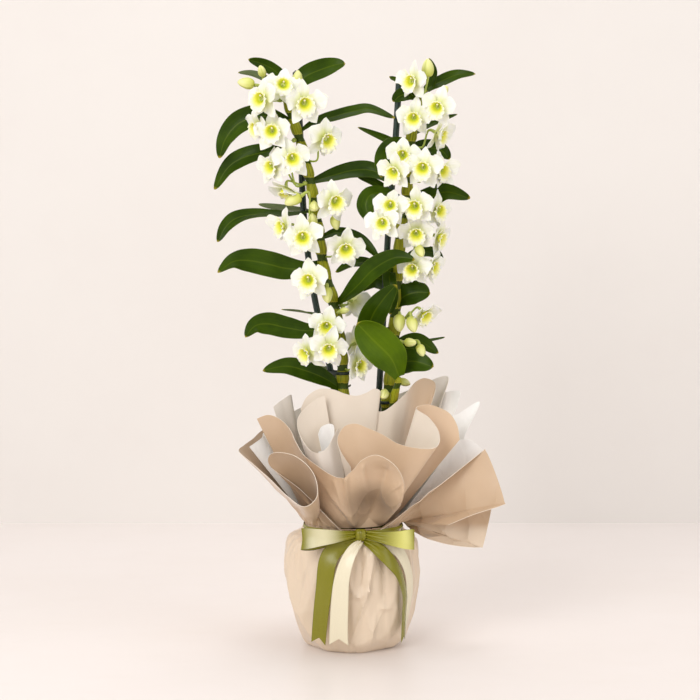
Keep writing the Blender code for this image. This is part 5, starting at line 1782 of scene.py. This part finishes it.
@dataclass
class RibbonStrip:
    """A satin ribbon along a curve, gathered where it enters the knot."""

    name: str
    points: Sequence[Point]
    widths: Sequence[float]
    across_start: Point
    across_end: Point
    notch: float
    cloth: bpy.types.Material
    slot: Slot
    crimp: float = 1.1
    columns: int = 22
    rows: int = 96
    thickness: float = 0.35

    def form(self, across: Array, along: Array) -> Array:
        """Points of the ribbon's front face."""
        levels, row = np.unique(along, return_inverse=True)
        course = Course(np.array(self.points, float))
        spots, tangents, _ = course.frames(levels)
        start, end = np.array(self.across_start, float), np.array(self.across_end, float)
        ways = start + (end - start) * step(0.0, 0.7, levels)[:, None]
        ways = unit(ways - tangents * np.sum(ways * tangents, axis=1, keepdims=True))
        normals = np.cross(tangents, ways)
        near = levels if self.notch else np.minimum(levels, 1 - levels)
        wide = eased(tuple(zip(np.linspace(0, 1, len(self.widths)), self.widths)), levels)
        s = 2 * across - 1
        gather = (1 - step(0.0, 0.30, near))[row]
        wrinkle = self.crimp * gather * np.cos(7 * s + 0.6) + 0.5 * (1 - gather) * np.cos(2.2 * s)
        pull = self.notch * (1 - np.abs(s)) * step(0.66, 1.0, along)
        return (spots[row] + (s * wide[row] / 2)[:, None] * ways[row] + wrinkle[:, None] * normals[row]
                - pull[:, None] * tangents[row])

    def build(self) -> bpy.types.Object:
        """Lay the ribbon and dress it."""
        maker = Maker()
        maker.grid(self.columns, self.rows, self.form, thickness=self.thickness)
        piece = maker.finish(self.name, (self.cloth,), 60)
        place_piece(piece, self.slot, self.name)
        return piece


# name: the way along the ribbon's middle, widths along it, direction across it at its two ends, and notch.
RIBBONS = {
    "ribbon_loop_left": (
        ((3.5, -61, 122), (-14, -69, 121.5), (-38, -71, 120), (-50, -66, 118),
         (-38, -60, 115), (-14, -58.5, 117.5), (3.5, -57.5, 121)),
        (6, 9.5, 15, 19.5, 21, 19, 14, 10, 7), (0, 0.3, 1), (0, 0.3, 1), 0),
    "ribbon_loop_right": (
        ((12, -61, 122), (28, -68, 120), (48, -68, 118), (59, -61, 117),
         (48, -58, 117), (28, -58.5, 118.5), (12, -57.5, 121)),
        (6, 9.5, 14, 18.5, 20, 18, 13, 9, 7), (0, 0.3, 1), (0, 0.3, 1), 0),
    "ribbon_tail_olive_left": (
        ((5.6, -60, 115), (-6, -62, 112.5), (-18, -65, 107), (-25, -68.5, 95), (-28, -71, 71),
         (-31, -69, 48), (-34, -63, 14)),
        (6, 12, 16, 18, 18, 17, 16, 15), (-0.1, 0.1, 1), (-1, 0.4, 0.2), 6),
    "ribbon_tail_ivory_left": (
        ((8, -62.8, 115), (1, -70, 110), (-6, -75, 98), (-11, -77, 80), (-13, -75, 57), (-14, -71, 30),
         (-14, -68, 14)),
        (5, 10, 13, 15, 17, 18, 19), (-0.6, 0.4, 0.6), (-1, 0.1, 0.1), 6),
    "ribbon_tail_olive_right": (
        ((11, -60, 115), (20, -64, 111), (29, -66, 104), (38, -66, 94), (45, -63, 83), (49.6, -60, 68),
         (51, -57, 56), (50.3, -55, 43), (49.3, -52, 14)),
        (5, 12, 14, 14, 14, 13, 12), (0.5, 0.1, 1), (0.35, 1, 0), 5),
    "ribbon_tail_ivory_right": (
        ((12, -57, 114), (30, -57, 111), (42, -54, 106), (50, -50, 95), (55, -46, 79), (56, -42, 61),
         (54, -41, 46), (50, -42, 24)),
        (5, 10, 12, 12, 12, 11, 9), (0.4, 0.1, 1), (0.6, 0.9, 0), 5),
}


@dataclass
class Ribbon:
    """The band round the neck, the knot, two loops and four tails."""

    stock: Stock
    band_radius: float = 49.6
    band_low: float = 115.2
    band_high: float = 123.0
    knot: Point = (7.4, -57.6, 121.5)
    knot_size: float = 6.3

    def band_form(self, across: Array, along: Array) -> Array:
        """Points of the band's outer face."""
        angle = math.tau * across
        crush = (0.5 * np.sin(9 * angle + 4 * along) * np.sin(math.pi * along)
                 + 0.35 * np.cos(3 * math.pi * along))
        radius = self.band_radius + 0.4 + crush
        height = self.band_low + (self.band_high - self.band_low) * along + 0.5 * np.sin(5 * angle)
        return np.stack((radius * np.cos(angle), radius * np.sin(angle), height), axis=1)

    def knot_radius(self, around: Array, along: Array) -> Array:
        """The knot's radius, wrinkled lengthwise."""
        angle = math.tau * around
        body = self.knot_size * np.sin(math.pi * np.clip(along, 0.08, 0.92)) ** 0.32
        return body * (1 + 0.07 * np.sin(9 * angle + 2.4 * along) + 0.03 * np.sin(17 * angle))

    def build(self) -> None:
        """Lay the band, the knot and the strips, and dress them."""
        stock = self.stock
        maker = Maker()
        maker.grid(220, 8, self.band_form, closed=True, thickness=0.4)
        place_piece(maker.finish("ribbon_band", (stock.olive,), 60), Slot.OLIVE, "ribbon_band")
        maker = Maker()
        x, y, z = self.knot
        maker.tube(((x, y, z - 6), (x, y - 1, z), (x, y, z + 5)), self.knot_radius, 48, 30)
        place_piece(maker.finish("ribbon_knot", (stock.olive,), 60), Slot.OLIVE, "ribbon_knot")
        for name, course in RIBBONS.items():
            ivory = "ivory" in name
            cloth = {"ribbon_loop_left": stock.loop_left, "ribbon_loop_right": stock.loop_right}.get(
                name, stock.ivory if ivory else stock.olive)
            RibbonStrip(name, *course, cloth, Slot.IVORY if ivory else Slot.OLIVE).build()


# Studio.

SOFT_WHITE = (1.0, 0.99, 0.98)
# name, place, what it looks at, width in metres and power in watts.
LIGHTS = (
    ("key_light", (-1.0, -1.8, 1.35), (0, 0, 0.25), 1.2, 26),
    ("fill_light", (1.6, -1.3, 0.9), (0, 0, 0.2), 1.4, 8),
    ("top_light", (0.1, 0.1, 2.4), (0, 0.1, 0.2), 1.0, 12),
)


@dataclass(frozen=True)
class StudioFinish:
    """A pale painted floor or wall with the faintest clouding."""

    name: str
    colour: Colour
    cloud: Colour
    roughness: float

    def build(self) -> bpy.types.Material:
        """Make the material."""
        surface = Surface(self.name)
        place = surface.place()
        soft = surface.noise(surface.stretched(place, (1, 1, 1)), 3.0, 4.0, 0.55)
        fine = surface.noise(surface.stretched(place, (1, 3, 1)), 14.0, 5.0, 0.6)
        tone = surface.mix(self.colour, self.cloud, soft.rise(0.35, 0.7) * 0.6 + fine.rise(0.5, 0.75) * 0.3)
        return surface.finish({
            "Base Color": tone,
            "Roughness": soft * 0.1 + self.roughness,
            "Specular IOR Level": 0.35,
        })


@dataclass
class Studio:
    """The camera, the pale floor and wall, and soft light."""

    eye: Point = (-0.003, -1.80, 0.45)
    aim: Point = (-0.003, 0.0, 0.297)
    lens: float = 92.9
    wall: float = 0.67

    def build(self) -> None:
        """Make the camera, the stage and the lights."""
        scene = bpy.context.scene
        camera = bpy.data.objects.new("camera", bpy.data.cameras.new("camera"))
        camera.data.lens = self.lens
        camera.data.sensor_width = 36
        camera.location = self.eye
        camera.rotation_euler = (Vector(self.aim) - Vector(self.eye)).to_track_quat("-Z", "Y").to_euler()
        scene.collection.objects.link(camera)
        scene.camera = camera
        scene.view_settings.view_transform = "Standard"
        self.add_plane("studio_floor", ((-4, -4, 0), (4, self.wall, 0)),
                       StudioFinish("floor_paint", (0.86, 0.80, 0.775), (0.83, 0.765, 0.73), 0.32))
        self.add_plane("studio_wall", ((-4, self.wall, 0), (4, self.wall, 4)),
                       StudioFinish("wall_paint", (0.84, 0.80, 0.765), (0.82, 0.775, 0.74), 0.8))
        world = bpy.data.worlds.new("soft_room")
        world.use_nodes = True
        background = world.node_tree.nodes["Background"]
        background.inputs["Color"].default_value = (*SOFT_WHITE, 1)
        background.inputs["Strength"].default_value = 0.60
        scene.world = world
        for name, spot, aim, size, power in LIGHTS:
            self.add_light(name, spot, aim, size, power)

    def add_plane(self, name: str, corners: tuple, finish: StudioFinish) -> None:
        """Lay a flat stage between two opposite corners."""
        (x0, y0, z0), (x1, y1, z1) = corners
        shape = bmesh.new()
        made = bmesh.ops.create_grid(shape, x_segments=1, y_segments=1, size=0.5)
        for vert in made["verts"]:
            u, v = vert.co.x + 0.5, vert.co.y + 0.5
            vert.co = (x0 + (x1 - x0) * u, y0 + (y1 - y0) * v, z0 + (z1 - z0) * v)
        mesh = bpy.data.meshes.new(name)
        shape.to_mesh(mesh)
        shape.free()
        mesh.materials.append(finish.build())
        made = bpy.data.objects.new(name, mesh)
        bpy.context.scene.collection.objects.link(made)

    def add_light(self, name: str, spot: Point, aim: Point, size: float, power: float) -> None:
        """Hang a soft square light that looks at a point."""
        data = bpy.data.lights.new(name, "AREA")
        data.shape = "SQUARE"
        data.size = size
        data.energy = power
        data.color = SOFT_WHITE
        light = bpy.data.objects.new(name, data)
        light.location = spot
        light.rotation_euler = (Vector(aim) - Vector(spot)).to_track_quat("-Z", "Y").to_euler()
        bpy.context.scene.collection.objects.link(light)


def main() -> None:
    """Build the studio, the plant, the wrap and the ribbon."""
    logging.basicConfig(level=logging.INFO, format="%(name)s %(message)s")
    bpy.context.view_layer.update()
    Studio().build()
    stock = Stock()
    GrowerPot(stock).build()
    GrowingMedium(stock).build()
    for side in ("left", "right"):
        LeafyStem(f"leafy_cane_{side}", CANES[side], LEAVES[side], NODES[side], CANE_RADIUS, CANE_TIP_RADIUS,
                  stock).build()
    LeafyStem("leafy_young_shoot", SHOOT, LEAVES["shoot"], NODES["shoot"], SHOOT_RADIUS, SHOOT_TIP_RADIUS,
              stock).build()
    for side, height in TIE_HEIGHTS.items():
        Stake(side, stock).build()
        StemTie(side, height, stock).build()
    for index, (name, spray) in enumerate(SPRAYS.items()):
        Spray(name, *spray, stock, np.random.default_rng(SEED + 100 + index)).build()
    OuterWrap(stock).build()
    build_sheets(stock)
    Ribbon(stock).build()


if __name__ == "__main__":
    main()
